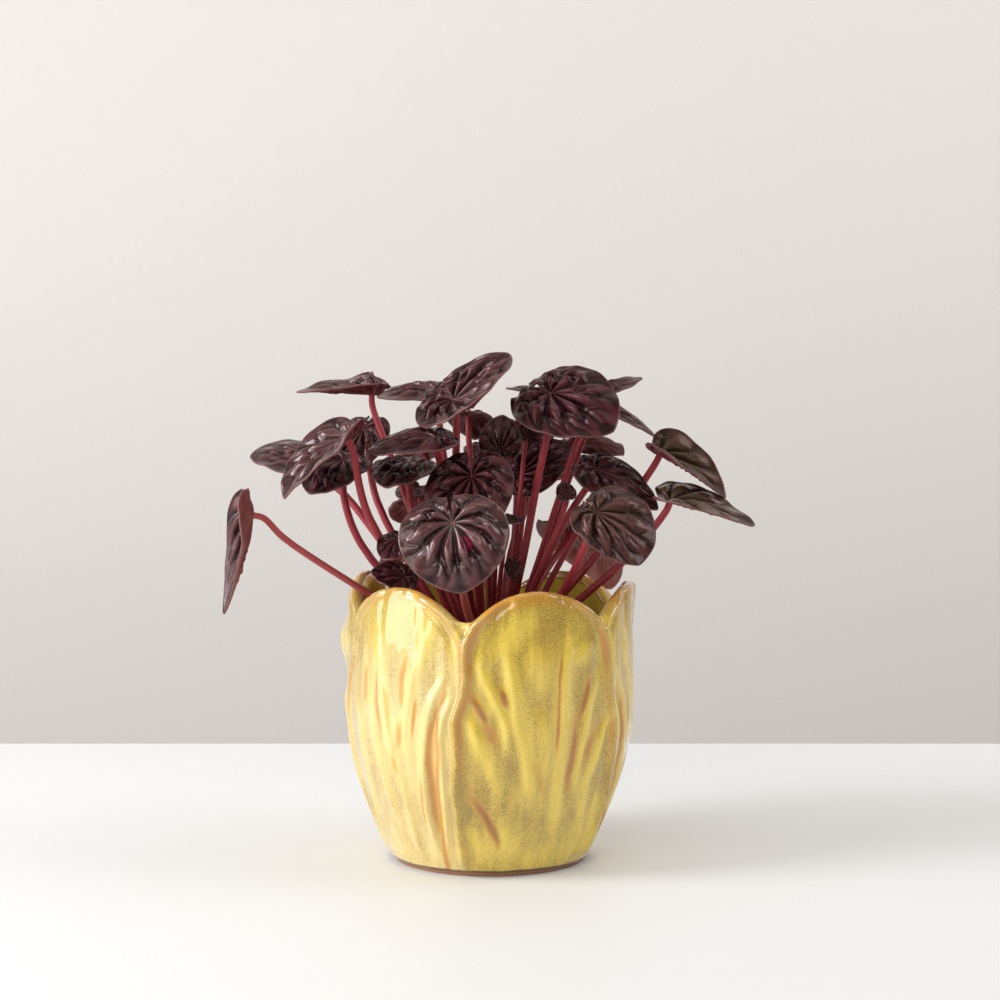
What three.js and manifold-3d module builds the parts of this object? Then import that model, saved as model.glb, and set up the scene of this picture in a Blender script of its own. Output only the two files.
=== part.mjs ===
// A peperomia with corrugated wine-red leaves, in a glazed pot shaped like six overlapping petals.
// Millimetres, +Z up. The origin is the middle of the pot's foot, on the surface it stands on.
// The plant's front looks along -Y. Azimuths are degrees round Z, from the front towards +X.

import * as THREE from 'three';
import { mergeVertices } from 'three/addons/utils/BufferGeometryUtils.js';
import Module from 'manifold-3d';

const wasm = await Module();
wasm.setup();

// Pot
const potFootRadius = 39.4; // outer radius just above the foot
const potBellyRadius = 56.6; // outer radius of the upper half
const potBellyHeight = 60; // height at which the wall stops widening
const potBellyCurve = 1.1; // 1 is a quarter of a sine wave
const potWall = 4.6;
const potFloor = 6;
const footHeight = 2.0; // bare clay under the glaze
const footInset = 0.9;
const footBevel = 0.6;
const floorInset = 2; // how much narrower the inside is at its floor
const petalShoulder = 84; // height where the petal's sides turn into its rounded top
const petalTopHeight = 27; // from the shoulder to the apex
const outlineCurve = 2.1; // 2 is an ellipse, higher is squarer
const rimBase = 99.6; // the rim's height where no petal stands above it
const rimBlend = 2.4; // rounds the valleys of the rim
const leanReach = 34; // degrees to each side over which a petal leans
const leanCurve = 1.5; // higher keeps the lean nearer the rim
const stepReach = 36; // degrees from a petal's middle to its full step
const stepCurve = 3; // higher keeps the step nearer the edge
const plainEdge = [1.2, 1.2]; // a petal's step over its neighbour and the height of its rolled edge
const beadWidth = 1.8;
const beadInset = 1.7;
const grooveDepth = 0.6; // the hollow along the rolled edge
const grooveWidth = 1.9;
const grooveInset = 5.4;
const edgeRound = [-0.9, 0.7]; // mm inside a petal's edge over which its surface takes over
const foldBottom = [-6, 4]; // mm from a fold's lower end over which it rises
const foldTop = [-4, 5]; // mm from its upper end over which it fades
const reliefStart = [1, 9]; // heights between which the relief comes up from the smooth base
const seamOffsets = [-1.5, 0.1, 1.7, 3.4, 5.4]; // columns of facets beside an edge, in mm inside it
const columnSpacing = 4.1; // degrees between the other columns
const seamReach = 18; // degrees from an edge over which the columns follow it

// Azimuths run from the front towards the right. left and right are the paths of a petal's edges below its
// shoulder, as [height, degrees from its middle], and leftEdge and rightEdge their step and roll; swells are
// [height, mm, spread]. A higher layer lies over a lower one.
const plainSide = [[0, 36], [84, 34]];
const petals = [
  { // front
    azimuth: 20, apex: 111, lean: -3.0, layer: 3, leftEdge: [2.4, 1.7], rightEdge: [2.2, 1.2],
    left: [[7, 34.7], [33, 35.6], [48, 34.1], [63, 34.3], [72, 31.7], [80, 30.7], [84, 31.3]],
    right: [[10, 41.5], [25, 40], [43, 37.8], [59, 36.4], [75, 34], [84, 33]],
  },
  { // right
    azimuth: 84, apex: 111.3, lean: 1.4, layer: 2, rightEdge: [1.6, 1.2], left: [[0, 38], [84, 38]],
  },
  { azimuth: 144, apex: 111.2, lean: -1.8, layer: 1 }, // back right
  { // back left
    azimuth: 203, apex: 111.5, lean: -2.0, layer: 0, leftEdge: [0.6, 0.8], rightEdge: [0.6, 0.8],
  },
  { // far left
    azimuth: 260, apex: 114.5, lean: -2.4, layer: 1, rightEdge: [0, 0.8],
    swells: [[89, 3.4, 9], [63, 1.3, 6]],
  },
  { // front left
    azimuth: 318.5, apex: 111.8, lean: -2.8, layer: 2, leftEdge: [0.3, 0.9],
    left: [[8, 38], [30, 39], [60, 39], [74, 36], [84, 30]],
  },
];

// Folds pressed into the petals, as points [height, azimuth] running upwards, with width and rise in mm.
const folds = [
  { path: [[54, 7], [63, 5.5], [71, 2.2], [77, -1.2], [84, -4]], width: 1.5, rise: 0.9 },
  { path: [[32, 18.4], [54, 13.3], [73, 9.3], [91, 6.5]], width: 1.8, rise: 0.9 },
  { path: [[36, 3.3], [45, 0.2], [54, -3.6], [64, -8.3]], width: 2.3, rise: 0.8 },
  { path: [[18, 31.1], [44, 28.6], [70, 29.8], [95, 33.2]], width: 1.9, rise: 0.9 },
  { path: [[38, 37.6], [58, 39.5], [76, 44.8]], width: 1.4, rise: 0.8 },
  { path: [[16, 47.9], [38, 43.3], [65, 53.6]], width: 1.4, rise: 0.8 },
  { path: [[41, -42], [52, -42.1], [65, -45.1], [90, -49.1]], width: 1.6, rise: 0.8 },
  { path: [[25, -48.2], [50, -50.7], [73, -55.7]], width: 1.5, rise: 0.8 },
  { path: [[17, -66.7], [43, -61.7], [72, -66.1]], width: 1.5, rise: 0.8 },
  { path: [[50, -35.7], [70, -32.8], [81, -30.4]], width: 1.8, rise: 0.8 },
  { path: [[10, -26.1], [37, -27.4], [62, -24.4], [79, -18.2]], width: 1.7, rise: 1.3 },
  { path: [[10, -20.7], [43, -18.9], [63, -17.7], [71, -14.2]], width: 1.5, rise: 1.2 },
];

// Soil and crown
const soilTop = 79;
const soilGap = 0.5; // between soil and pot
const soilBumps = 1.3;
const soilRows = [20, 36, 54, 72]; // heights of its side facets, near those of the pot
const crownRadius = 14;
const crownBottom = 64;
const crownTop = 87;
const crownGap = 0.4;
const crownSides = 14;
const soilColumns = 42; // facets round the soil

// Leaves
const bladeThickness = 0.9;
const stalkRadius = 1.55;
const stalkSides = 6;
const stalkSteps = 7;
const stalkGap = 0.75; // between the end of a stalk and the underside of its blade
const stalkRootHeight = 80;
const stalkNeck = 4; // the last stretch, which bends into the blade
const neckTurn = 1.7; // how far the neck turns square to the blade
const stalkGather = 0.3; // how close to the middle a stalk starts, from its first point

const toRadians = THREE.MathUtils.degToRad;

// Every leaf by hand, in mm. hub is where the stalk meets the blade and tip is the blade's point; face is
// the way its upper side looks; half is half its width. back is how much of the blade reaches behind the
// hub, point how far its tip is drawn out, and skew how much one side is larger. In degrees: fold raises
// both sides of the midrib, curl turns the margins further and lobes raises the two lobes behind the hub,
// each a number for both sides or one a side; droop turns the midrib from hub to tip, and rear behind the
// hub. via lists points that a stalk passes on its way up. A blade with rings: 2 has coarser facets.
const leaves = {
  // left
  leaf_far_left: {
    hub: [-92, -29, 139], tip: [-103, -32, 101], face: [-0.93, -0.34, -0.28], half: 11,
    back: 0.4, point: 0.2, fold: [30, 40], lobes: 35, droop: -24, rear: -110,
    via: [[-44, -14, 104.5], [-80, -26, 130]],
  },
  leaf_top_left: {
    hub: [-47.5, 5, 186], tip: [-77, -2, 186.5], face: [0, -0.24, 0.97], half: 11,
    back: 0.4, point: 0.16, fold: [30, 22], lobes: [24, 50], droop: 6, rear: -240, via: [[-38, 3, 156]],
  },
  leaf_left: {
    hub: [-55, -30, 168.8], tip: [-78.5, -42, 146.2], face: [-0.6, -0.42, 0.68], half: 15,
    back: 0.1, point: 0.14, skew: -0.05, fold: [14, 18], lobes: [24, 10], curl: [8, 0], droop: 14,
    via: [[-47, -24, 138]],
  },
  leaf_left_back: {
    hub: [-72, 37, 158], tip: [-100, 33, 160], face: [-0.1, -0.5, 0.86], half: 15,
    droop: 20, via: [[-44, 23, 124], [-60, 31, 143.5]],
  },
  leaf_left_under: {
    hub: [-58, -10, 159.5], tip: [-70, -25, 147], face: [-0.2, -0.6, 0.75], half: 13.5,
    back: 0.4, droop: 20, via: [[-51, -8, 126], [-58, -8, 146]],
  },
  leaf_left_inner: {
    hub: [-52, 20, 171], tip: [-58, 8, 152.5], face: [-0.3, -0.66, 0.68], half: 13,
    back: 0.5, droop: 20, via: [[-46, 15, 142]],
  },
  // top
  leaf_top_back_left: {
    hub: [-22, 30, 187.5], tip: [-47, 28, 185], face: [0.05, -0.3, 0.95], half: 12,
    droop: 14, via: [[-16, 20, 140]],
  },
  leaf_top_centre: {
    hub: [-14.5, -10, 183.5], tip: [-7.5, -34, 181.5], face: [-0.3, -0.55, 0.78], half: 29,
    skew: 0.24, fold: [20, 4], droop: -55, via: [[-13, -6, 140]],
  },
  leaf_upper_middle: {
    hub: [-21, -20, 168.8], tip: [-47, -26, 163.5], face: [-0.1, -0.36, 0.92], half: 13,
    back: 0.36, droop: 14, via: [[-14, -8, 125], [-18, -12, 152]],
  },
  leaf_middle_left: {
    hub: [-32, -8, 158.5], tip: [-40, -28, 150], face: [-0.1, -0.55, 0.8], half: 13,
    droop: 20, via: [[-31, -7, 141]],
  },
  leaf_top_right: {
    hub: [24, -10, 186], tip: [48, -28, 171.5], face: [-0.05, -0.72, 0.66], half: 20,
    droop: 22, via: [[13, -7, 120], [18, -9, 147]],
  },
  leaf_top_behind: {
    hub: [22.5, 28, 186.5], tip: [7, 15, 188], face: [0, -0.1, 0.97], half: 10,
    droop: 10, via: [[12, 24, 130], [19, 31, 160]],
  },
  leaf_top_right_point: {
    hub: [44, 14, 187], tip: [62, 17, 192.6], face: [-0.2, -0.3, 0.93], half: 9,
    back: 0.34, point: 0.16, droop: 10, via: [[28, 6, 140], [38, 9, 168]],
  },
  leaf_right_point: {
    hub: [46, 1, 179], tip: [66.5, 5, 169], face: [0.4, -0.25, 0.85], half: 9,
    back: 0.34, point: 0.16, fold: 15, droop: 10, via: [[18, 0, 115], [27, -2, 143], [37, -2, 171]],
  },
  // middle
  leaf_centre_young: {
    hub: [4, -2, 163], tip: [5, 8, 177.5], face: [0, -0.8, 0.5], half: 9,
    back: 0.34, fold: 12, droop: -10, via: [[2, 0, 120]],
  },
  leaf_centre_small: {
    hub: [15.5, 4.6, 168.8], tip: [19, 7, 177], face: [0.3, -0.8, 0.4], half: 5,
    rings: 2, back: 0.34, via: [[10, 3, 125]],
  },
  leaf_centre_dark: {
    hub: [12, 15, 153], tip: [32.5, 22, 165.5], face: [-0.2, -0.8, 0.55], half: 13,
    back: 0.4, droop: 12, via: [[10, 12, 115], [13, 19, 138]],
  },
  leaf_inner_back: {
    hub: [-8.7, 18, 177], tip: [-6.5, 40, 167], face: [0.1, 0.4, 0.9], half: 10,
    droop: 16, via: [[-6, 12, 130]],
  },
  leaf_behind_centre: {
    hub: [-2.5, 34, 164], tip: [-2, 54, 155], face: [0, 0.45, 0.9], half: 9,
    droop: 16, via: [[-1, 20, 125]],
  },
  leaf_right_back: {
    hub: [35, 31, 166], tip: [56, 43, 160.5], face: [0.2, 0.42, 0.88], half: 12,
    back: 0.4, droop: 16, via: [[24, 21, 125]],
  },
  leaf_left_low_back: {
    hub: [-28, 26, 143], tip: [-38, 44, 132], face: [-0.3, 0.5, 0.8], half: 12,
    back: 0.4, droop: 16, via: [[-18, 15, 115]],
  },
  leaf_middle_low: {
    hub: [-29, 16, 147.5], tip: [-37, 8, 144], face: [-0.1, -0.4, 0.9], half: 8,
    back: 0.4, droop: 14, via: [[-22, 10, 120]],
  },
  // right
  leaf_right_high: {
    hub: [68, -2, 162], tip: [93.8, -8, 145], face: [0.51, -0.44, 0.74], half: 13.6,
    back: 0.06, point: 0.16, fold: [34, 30], lobes: [30, 10], droop: 10,
    via: [[28, 0, 104], [46, 3, 125], [60, 3, 148]],
  },
  leaf_right_low: {
    hub: [71, -15, 144], tip: [104, -18, 134.5], face: [0.24, -0.4, 0.9], half: 14,
    back: 0.15, point: 0.2, fold: [14, 27], droop: 4, via: [[35, -11, 104], [54, -13, 121]],
  },
  leaf_right_middle: {
    hub: [42, -5, 156], tip: [66, -14, 140], face: [0.35, -0.65, 0.67], half: 13,
    back: 0.3, point: 0.14, droop: 14, via: [[18, -4, 110], [31, -5, 137]],
  },
  leaf_right_inner_back: {
    hub: [48.5, 25, 152], tip: [52, 43, 144], face: [0.2, 0.45, 0.87], half: 10,
    back: 0.4, droop: 14, via: [[30, 14, 120]],
  },
  leaf_right_front: {
    hub: [41, -38, 140.5], tip: [57, -46, 121], face: [0.25, -0.75, 0.6], half: 20.5,
    back: 0.36, skew: 0.2, droop: 20, via: [[28, -23, 108], [37, -34, 128]],
  },
  leaf_right_small: {
    hub: [30.5, -18, 146], tip: [28, -13, 151], face: [0, -0.8, 0.5], half: 4,
    rings: 2, back: 0.34, via: [[19, -11, 115]],
  },
  leaf_back_right_low: {
    hub: [33.5, 44, 128], tip: [52, 64, 102], face: [0.4, 0.55, 0.6], half: 17,
    back: 0.4, droop: 24, via: [[20, 26, 108]],
  },
  // front
  leaf_front: {
    hub: [-14, -45, 137], tip: [-10.5, -51, 110.5], face: [-0.05, -0.9, 0.25], half: 21.5,
    droop: 24, via: [[-10, -34, 108]],
  },
  leaf_front_behind: {
    hub: [-7, -25, 154], tip: [-4.5, -34, 130], face: [-0.3, -0.82, 0.42], half: 17,
    skew: -0.08, droop: 14, via: [[-5, -18, 115]],
  },
  leaf_front_small: {
    hub: [-35, -32, 129.5], tip: [-41, -37, 122.5], face: [-0.4, -0.8, 0.45], half: 8,
    rings: 2, via: [[-15, -27, 112]],
  },
  leaf_front_rim: {
    hub: [-33, -27, 115], tip: [-46, -29, 117], face: [-0.15, -0.6, 0.75], half: 8,
    rings: 2, via: [[-22, -16, 97]],
  },
  leaf_front_tiny: {
    hub: [7, -15, 137], tip: [13.5, -14, 136], face: [0, -0.4, 0.9], half: 4,
    rings: 2, via: [[4, -9, 112]],
  },
  leaf_low_tiny: {
    hub: [9, -19, 119], tip: [10, -23, 113], face: [0.1, -0.8, 0.4], half: 3.5,
    rings: 2, via: [[6, -14, 103]],
  },
  // back, hidden from the front
  leaf_back_high: {
    hub: [12, 48, 172], tip: [17, 71, 158], face: [0.1, 0.5, 0.85], half: 14,
    droop: 20, via: [[10, 26, 125]],
  },
  leaf_back_left: {
    hub: [-28, 46, 162], tip: [-44, 64, 150], face: [-0.4, 0.35, 0.85], half: 14,
    droop: 20, via: [[-8, 32, 128]],
  },
  leaf_back_right: {
    hub: [38, 52, 157], tip: [54, 70, 144], face: [0.4, 0.4, 0.85], half: 14,
    droop: 20, via: [[10, 34, 125], [22, 46, 148]],
  },
  leaf_back_low: {
    hub: [-11, 58, 134], tip: [-16, 80, 115], face: [-0.1, 0.6, 0.75], half: 14,
    droop: 20, via: [[-6, 30, 112]],
  },
  leaf_back_low_left: {
    hub: [-32, 46, 126], tip: [-46, 62, 108], face: [-0.5, 0.4, 0.7], half: 12,
    droop: 20, via: [[-18, 25, 106]],
  },
};

// Helpers

function smooth(low, high, value) {
  return THREE.MathUtils.smoothstep(value, low, high);
}

// A hash of a row's name and two counters, so that each leaf has its own wave however the rows are ordered.
function wobble(name, first, second) {
  let sum = first * 127.1 + second * 311.7;
  for (const letter of name) sum += letter.charCodeAt(0) * 1.37;
  const scrambled = Math.sin(sum) * 43758.5453;
  return 2 * (scrambled - Math.floor(scrambled)) - 1;
}

function material(colour, roughness) {
  return new THREE.MeshStandardMaterial({ color: colour, roughness, metalness: 0 });
}

function toSolid(geometry) {
  const bare = geometry.clone();
  bare.deleteAttribute('normal');
  bare.deleteAttribute('uv');
  const merged = mergeVertices(bare, 1e-4);
  return new wasm.Manifold(new wasm.Mesh({
    numProp: 3,
    vertProperties: new Float32Array(merged.attributes.position.array),
    triVerts: new Uint32Array(merged.index.array),
  }));
}

function toGeometry(solid) {
  const mesh = solid.getMesh();
  const geometry = new THREE.BufferGeometry();
  geometry.setAttribute('position', new THREE.Float32BufferAttribute(mesh.vertProperties, 3));
  geometry.setIndex(Array.from(mesh.triVerts));
  geometry.computeVertexNormals();
  return geometry;
}

function closedGeometry(points, faces) {
  const geometry = new THREE.BufferGeometry().setFromPoints(points);
  geometry.setIndex(faces.flat());
  geometry.computeVertexNormals();
  return geometry;
}

// Pot: a turned wall whose rim, radius and relief follow the petals

function bodyRadius(height) {
  const rise = Math.sin(Math.min(height / potBellyHeight, 1) * Math.PI / 2);
  return potFootRadius + (potBellyRadius - potFootRadius) * Math.pow(rise, potBellyCurve);
}

function fullTurn(degrees) {
  return THREE.MathUtils.euclideanModulo(degrees, 360);
}

// Degrees from a petal's centre line, negative on its left.
function fromPetal(petal, azimuth) {
  return fullTurn(azimuth - petal.azimuth + 180) - 180;
}

// The value at a position along [position, value] points.
function pathValue(path, position) {
  const next = path.findIndex(([start]) => start > position);
  if (next === 0) return path[0][1];
  if (next < 0) return path[path.length - 1][1];
  const [from, to] = [path[next - 1], path[next]];
  return THREE.MathUtils.mapLinear(position, from[0], to[0], from[1], to[1]);
}

function hump(distance, width) {
  return Math.exp(-Math.pow(distance / width, 2));
}

// How wide a petal's rounded top is at a part of its height, as a part of its width at the shoulder.
function topSpread(rise) {
  const reached = THREE.MathUtils.clamp(rise, 0, 1);
  return Math.pow(1 - Math.pow(reached, outlineCurve), 1 / outlineCurve);
}

// Degrees from a petal's middle to its left edge (side -1) or right edge (side 1).
function halfWidth(petal, side, height) {
  const path = (side < 0 ? petal.left : petal.right) ?? plainSide;
  const below = pathValue(path, Math.min(height, petalShoulder));
  return below * topSpread((height - petalShoulder) / petalTopHeight);
}

// The highest petal outline at an azimuth, blended into the height that all the petals share.
function rimHeight(azimuth) {
  const outlines = petals.map((petal) => {
    const degrees = fromPetal(petal, azimuth);
    const part = Math.abs(degrees) / halfWidth(petal, Math.sign(degrees), petalShoulder);
    return petalShoulder + topSpread(part) * (petal.apex - petalShoulder);
  });
  const above = Math.max(...outlines) - rimBase;
  return rimBase + (above + Math.hypot(above, rimBlend)) / 2;
}

function foldRelief(azimuth, height) {
  let relief = 0;
  for (const fold of folds) {
    const fromBottom = height - fold.path[0][0];
    const fromTop = height - fold.path[fold.path.length - 1][0];
    const ends = smooth(...foldBottom, fromBottom) * (1 - smooth(...foldTop, fromTop));
    const degrees = fullTurn(azimuth - pathValue(fold.path, height) + 180) - 180;
    relief += fold.rise * ends * hump(toRadians(degrees) * bodyRadius(height), fold.width);
  }
  return relief;
}

function petalRelief(azimuth, height) {
  let relief = 0;
  for (const petal of [...petals].sort((a, b) => a.layer - b.layer)) {
    const degrees = fromPetal(petal, azimuth);
    const half = halfWidth(petal, Math.sign(degrees), height);
    const inside = toRadians(half - Math.abs(degrees)) * bodyRadius(height);
    const [step, roll] = (degrees < 0 ? petal.leftEdge : petal.rightEdge) ?? plainEdge;
    const slope = step * Math.pow(Math.min(Math.abs(degrees) / stepReach, 1), stepCurve);
    const bead = roll * hump(inside - beadInset, beadWidth);
    const groove = grooveDepth * hump(inside - grooveInset, grooveWidth);
    relief = THREE.MathUtils.lerp(relief, slope + bead - groove, smooth(...edgeRound, inside));
  }
  return (relief + foldRelief(azimuth, height)) * smooth(...reliefStart, height);
}

function petalLean(azimuth, height) {
  const bend = Math.pow(Math.max((height - petalShoulder) / petalTopHeight, 0), leanCurve);
  let offset = 0;
  for (const petal of petals) {
    const near = smooth(0, 1, 1 - Math.abs(fromPetal(petal, azimuth)) / leanReach);
    let swell = 0;
    for (const [middle, rise, width] of petal.swells ?? []) swell += rise * hump(height - middle, width);
    offset += (petal.lean * bend + swell) * near;
  }
  return offset;
}

// Where a higher petal's edge lies over its neighbour, as an azimuth that depends on the height.
function makeSeams() {
  return petals.map((petal, index) => {
    const next = petals[(index + 1) % petals.length];
    const [upper, side] = petal.layer > next.layer ? [petal, 1] : [next, -1];
    return { side, at: (height) => upper.azimuth + side * halfWidth(upper, side, height) };
  });
}

// Columns of facets: some beside each seam, which follow it up the pot, and even ones between the seams.
function makeColumns(seams) {
  const beside = seams.flatMap(({ side, at }) => seamOffsets.map((offset) => (
    fullTurn(at(petalShoulder) - side * THREE.MathUtils.radToDeg(offset / potBellyRadius))
  )));
  beside.sort((a, b) => a - b);
  return beside.flatMap((start, index) => {
    const gap = fullTurn(beside[(index + 1) % beside.length] - start);
    const count = Math.max(Math.round(gap / columnSpacing), 1);
    return Array.from({ length: count }, (_, step) => start + (gap * step) / count);
  });
}

function followSeams(seams, column, height) {
  let azimuth = column;
  for (const { at } of seams) {
    const away = Math.abs(fullTurn(column - at(petalShoulder) + 180) - 180);
    azimuth += (at(height) - at(petalShoulder)) * Math.max(1 - away / seamReach, 0);
  }
  return azimuth;
}

function makePot() {
  // Rows of facets as parts of the rim height, and level ones below the soil.
  const outerRows = [0.028, 0.09, 0.17, 0.26, 0.36, 0.46, 0.56, 0.66, 0.75, 0.83, 0.9, 0.955];
  const innerRows = [0.955, 0.86];
  const levelRows = [...soilRows].reverse();
  const section = [];
  section.push({ radius: () => 0, height: () => 0 });
  section.push({ radius: () => potFootRadius - footInset - footBevel, height: () => 0 });
  section.push({ radius: () => potFootRadius - footInset, height: () => footHeight });
  for (const row of outerRows) {
    section.push({ height: (azimuth) => row * rimHeight(azimuth), outer: true });
  }
  section.push({ height: (azimuth) => rimHeight(azimuth), top: true });
  for (const row of innerRows) {
    section.push({ height: (azimuth) => row * rimHeight(azimuth), inner: true });
  }
  for (const height of levelRows) section.push({ height: () => height, inner: true });
  section.push({ radius: () => bodyRadius(potFloor) - potWall - floorInset, height: () => potFloor });
  section.push({ radius: () => 0, height: () => potFloor });

  const onAxis = (row) => row.radius !== undefined && row.radius() === 0;
  const profile = section.map((row, index) => new THREE.Vector2(onAxis(row) ? 0 : 1, index));
  const seams = makeSeams();
  const columns = makeColumns(seams);
  const geometry = new THREE.LatheGeometry(profile, columns.length);
  const position = geometry.attributes.position;
  for (let i = 0; i < position.count; i += 1) {
    const row = section[i % section.length];
    const column = columns[Math.floor(i / section.length) % columns.length];
    const azimuth = followSeams(seams, column, row.height(column));
    const height = row.height(azimuth);
    const wall = bodyRadius(height) + petalLean(azimuth, height);
    let radius = row.radius ? row.radius() : 0;
    if (row.outer) radius = wall + petalRelief(azimuth, height);
    if (row.top) radius = wall + petalRelief(azimuth, height) / 2 - potWall / 2;
    if (row.inner) radius = wall - potWall;
    const turn = toRadians(azimuth);
    position.setXYZ(i, radius * Math.sin(turn), -radius * Math.cos(turn), height);
  }
  return geometry;
}

// Soil, with a plain hole for the crown

function makeSoil() {
  const bottom = potFloor + soilGap;
  const rows = [[0, bottom], [1, bottom], ...soilRows.map((height) => [1, height]), [1, soilTop - 1],
    [0.8, soilTop], [0.55, soilTop], [0.33, soilTop], [0, soilTop]];
  const profile = rows.map(([part], index) => new THREE.Vector2(part, index));
  const geometry = new THREE.LatheGeometry(profile, soilColumns);
  const position = geometry.attributes.position;
  for (let i = 0; i < position.count; i += 1) {
    const [part, height] = rows[i % rows.length];
    const column = Math.floor(i / rows.length) % soilColumns;
    const turn = (column * 2 * Math.PI) / soilColumns;
    const inset = potWall + soilGap + (height === bottom ? floorInset : 0);
    const radius = part * (bodyRadius(height) - inset);
    const bump = height === soilTop && part > 0 ? soilBumps * wobble('soil', column, i % rows.length) : 0;
    position.setXYZ(i, radius * Math.sin(turn), -radius * Math.cos(turn), height + bump);
  }
  const holeHeight = 2 * (soilTop - crownBottom);
  const hole = new THREE.CylinderGeometry(crownRadius + crownGap, crownRadius + crownGap, holeHeight, 24);
  hole.rotateX(Math.PI / 2);
  hole.translate(0, 0, crownBottom - crownGap + holeHeight / 2);
  return toGeometry(toSolid(geometry).subtract(toSolid(hole)));
}

// Leaf blades

// Degrees from the midrib; every second spoke is a vein.
const spokes = [-172, -146, -120, -92, -66, -42, -20, 0, 20, 42, 66, 92, 120, 146, 172];
const pillowHeight = 0.034; // of the length, between the veins
const veinDepth = 0.022;
const marginWave = 0.018;
const marginSwell = 0.35; // how much of the pillows and veins is left at the margin
const swellSpread = 0.3; // how much the pillows differ
const roundBehind = 0.75; // reach of the round outline beside and behind the hub
const roundAhead = 0.18; // further reach ahead of it
const defaultDroop = 12;
const defaultBack = 0.58;
const defaultPoint = 0.08;

// The blade's outline: how far it reaches from the hub, in lengths, at an angle from the midrib.
function outline(leaf, degrees) {
  const turn = Math.abs(degrees) / 180;
  const round = roundBehind + roundAhead * Math.pow(0.5 + 0.5 * Math.cos(Math.PI * turn), 2.5);
  const lobes = 1 - (1 - (leaf.back ?? defaultBack)) * smooth(0.4, 0.95, turn);
  const skew = 1 + (leaf.skew ?? 0) * Math.sin(toRadians(degrees));
  const point = leaf.point ?? defaultPoint;
  const drawnOut = point * Math.exp(-Math.pow(turn / 0.09, 1.3));
  return (round * lobes * skew + drawnOut) / (roundBehind + roundAhead + point);
}

function sided(value, side) {
  return Array.isArray(value) ? value[side < 0 ? 1 : 0] : value ?? 0;
}

function leafFrame(leaf) {
  const hub = new THREE.Vector3(...leaf.hub);
  const along = new THREE.Vector3(...leaf.tip).sub(hub);
  const reach = along.length();
  along.normalize();
  const up = new THREE.Vector3(...leaf.face);
  up.addScaledVector(along, -up.dot(along)).normalize();
  const side = new THREE.Vector3().crossVectors(up, along);
  const bend = toRadians(leaf.droop ?? defaultDroop);
  const length = (reach * bend / 2) / Math.sin(bend / 2);
  const rear = toRadians(leaf.rear ?? leaf.droop ?? defaultDroop);
  const start = along.clone().multiplyScalar(Math.cos(bend / 2)).addScaledVector(up, Math.sin(bend / 2));
  const startUp = up.clone().multiplyScalar(Math.cos(bend / 2)).addScaledVector(along, -Math.sin(bend / 2));
  return { hub, start, startUp, side, length, turning: bend / length, rearTurning: rear / length };
}

// A point of the smooth middle form, x mm along the midrib and y mm to one side of it.
function formPoint(leaf, frame, x, y) {
  const across = Math.abs(y);
  const behind = 1 - smooth(-0.25 * frame.length, 0.35 * frame.length, x);
  const fold = toRadians(sided(leaf.fold, y) + sided(leaf.lobes, y) * behind);
  const curl = toRadians(sided(leaf.curl, y));
  const opened = (across * across) / (across + 0.12 * leaf.half);
  const lift = Math.sin(fold) * opened + Math.tan(curl) * across * across / (2 * leaf.half);
  const flat = Math.sqrt(Math.max(across * across - lift * lift, 0.05 * across * across));
  const turning = x < 0 ? frame.rearTurning : frame.turning;
  const turn = turning * x;
  return frame.hub.clone()
    .addScaledVector(frame.start, Math.sin(turn) / turning + Math.sin(turn) * lift)
    .addScaledVector(frame.startUp, -(1 - Math.cos(turn)) / turning + Math.cos(turn) * lift)
    .addScaledVector(frame.side, Math.sign(y) * flat);
}

function formNormal(leaf, frame, x, y) {
  const step = 0.5;
  const ahead = formPoint(leaf, frame, x + step, y).sub(formPoint(leaf, frame, x - step, y));
  const aside = formPoint(leaf, frame, x, y + step).sub(formPoint(leaf, frame, x, y - step));
  return ahead.cross(aside).normalize();
}

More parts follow.
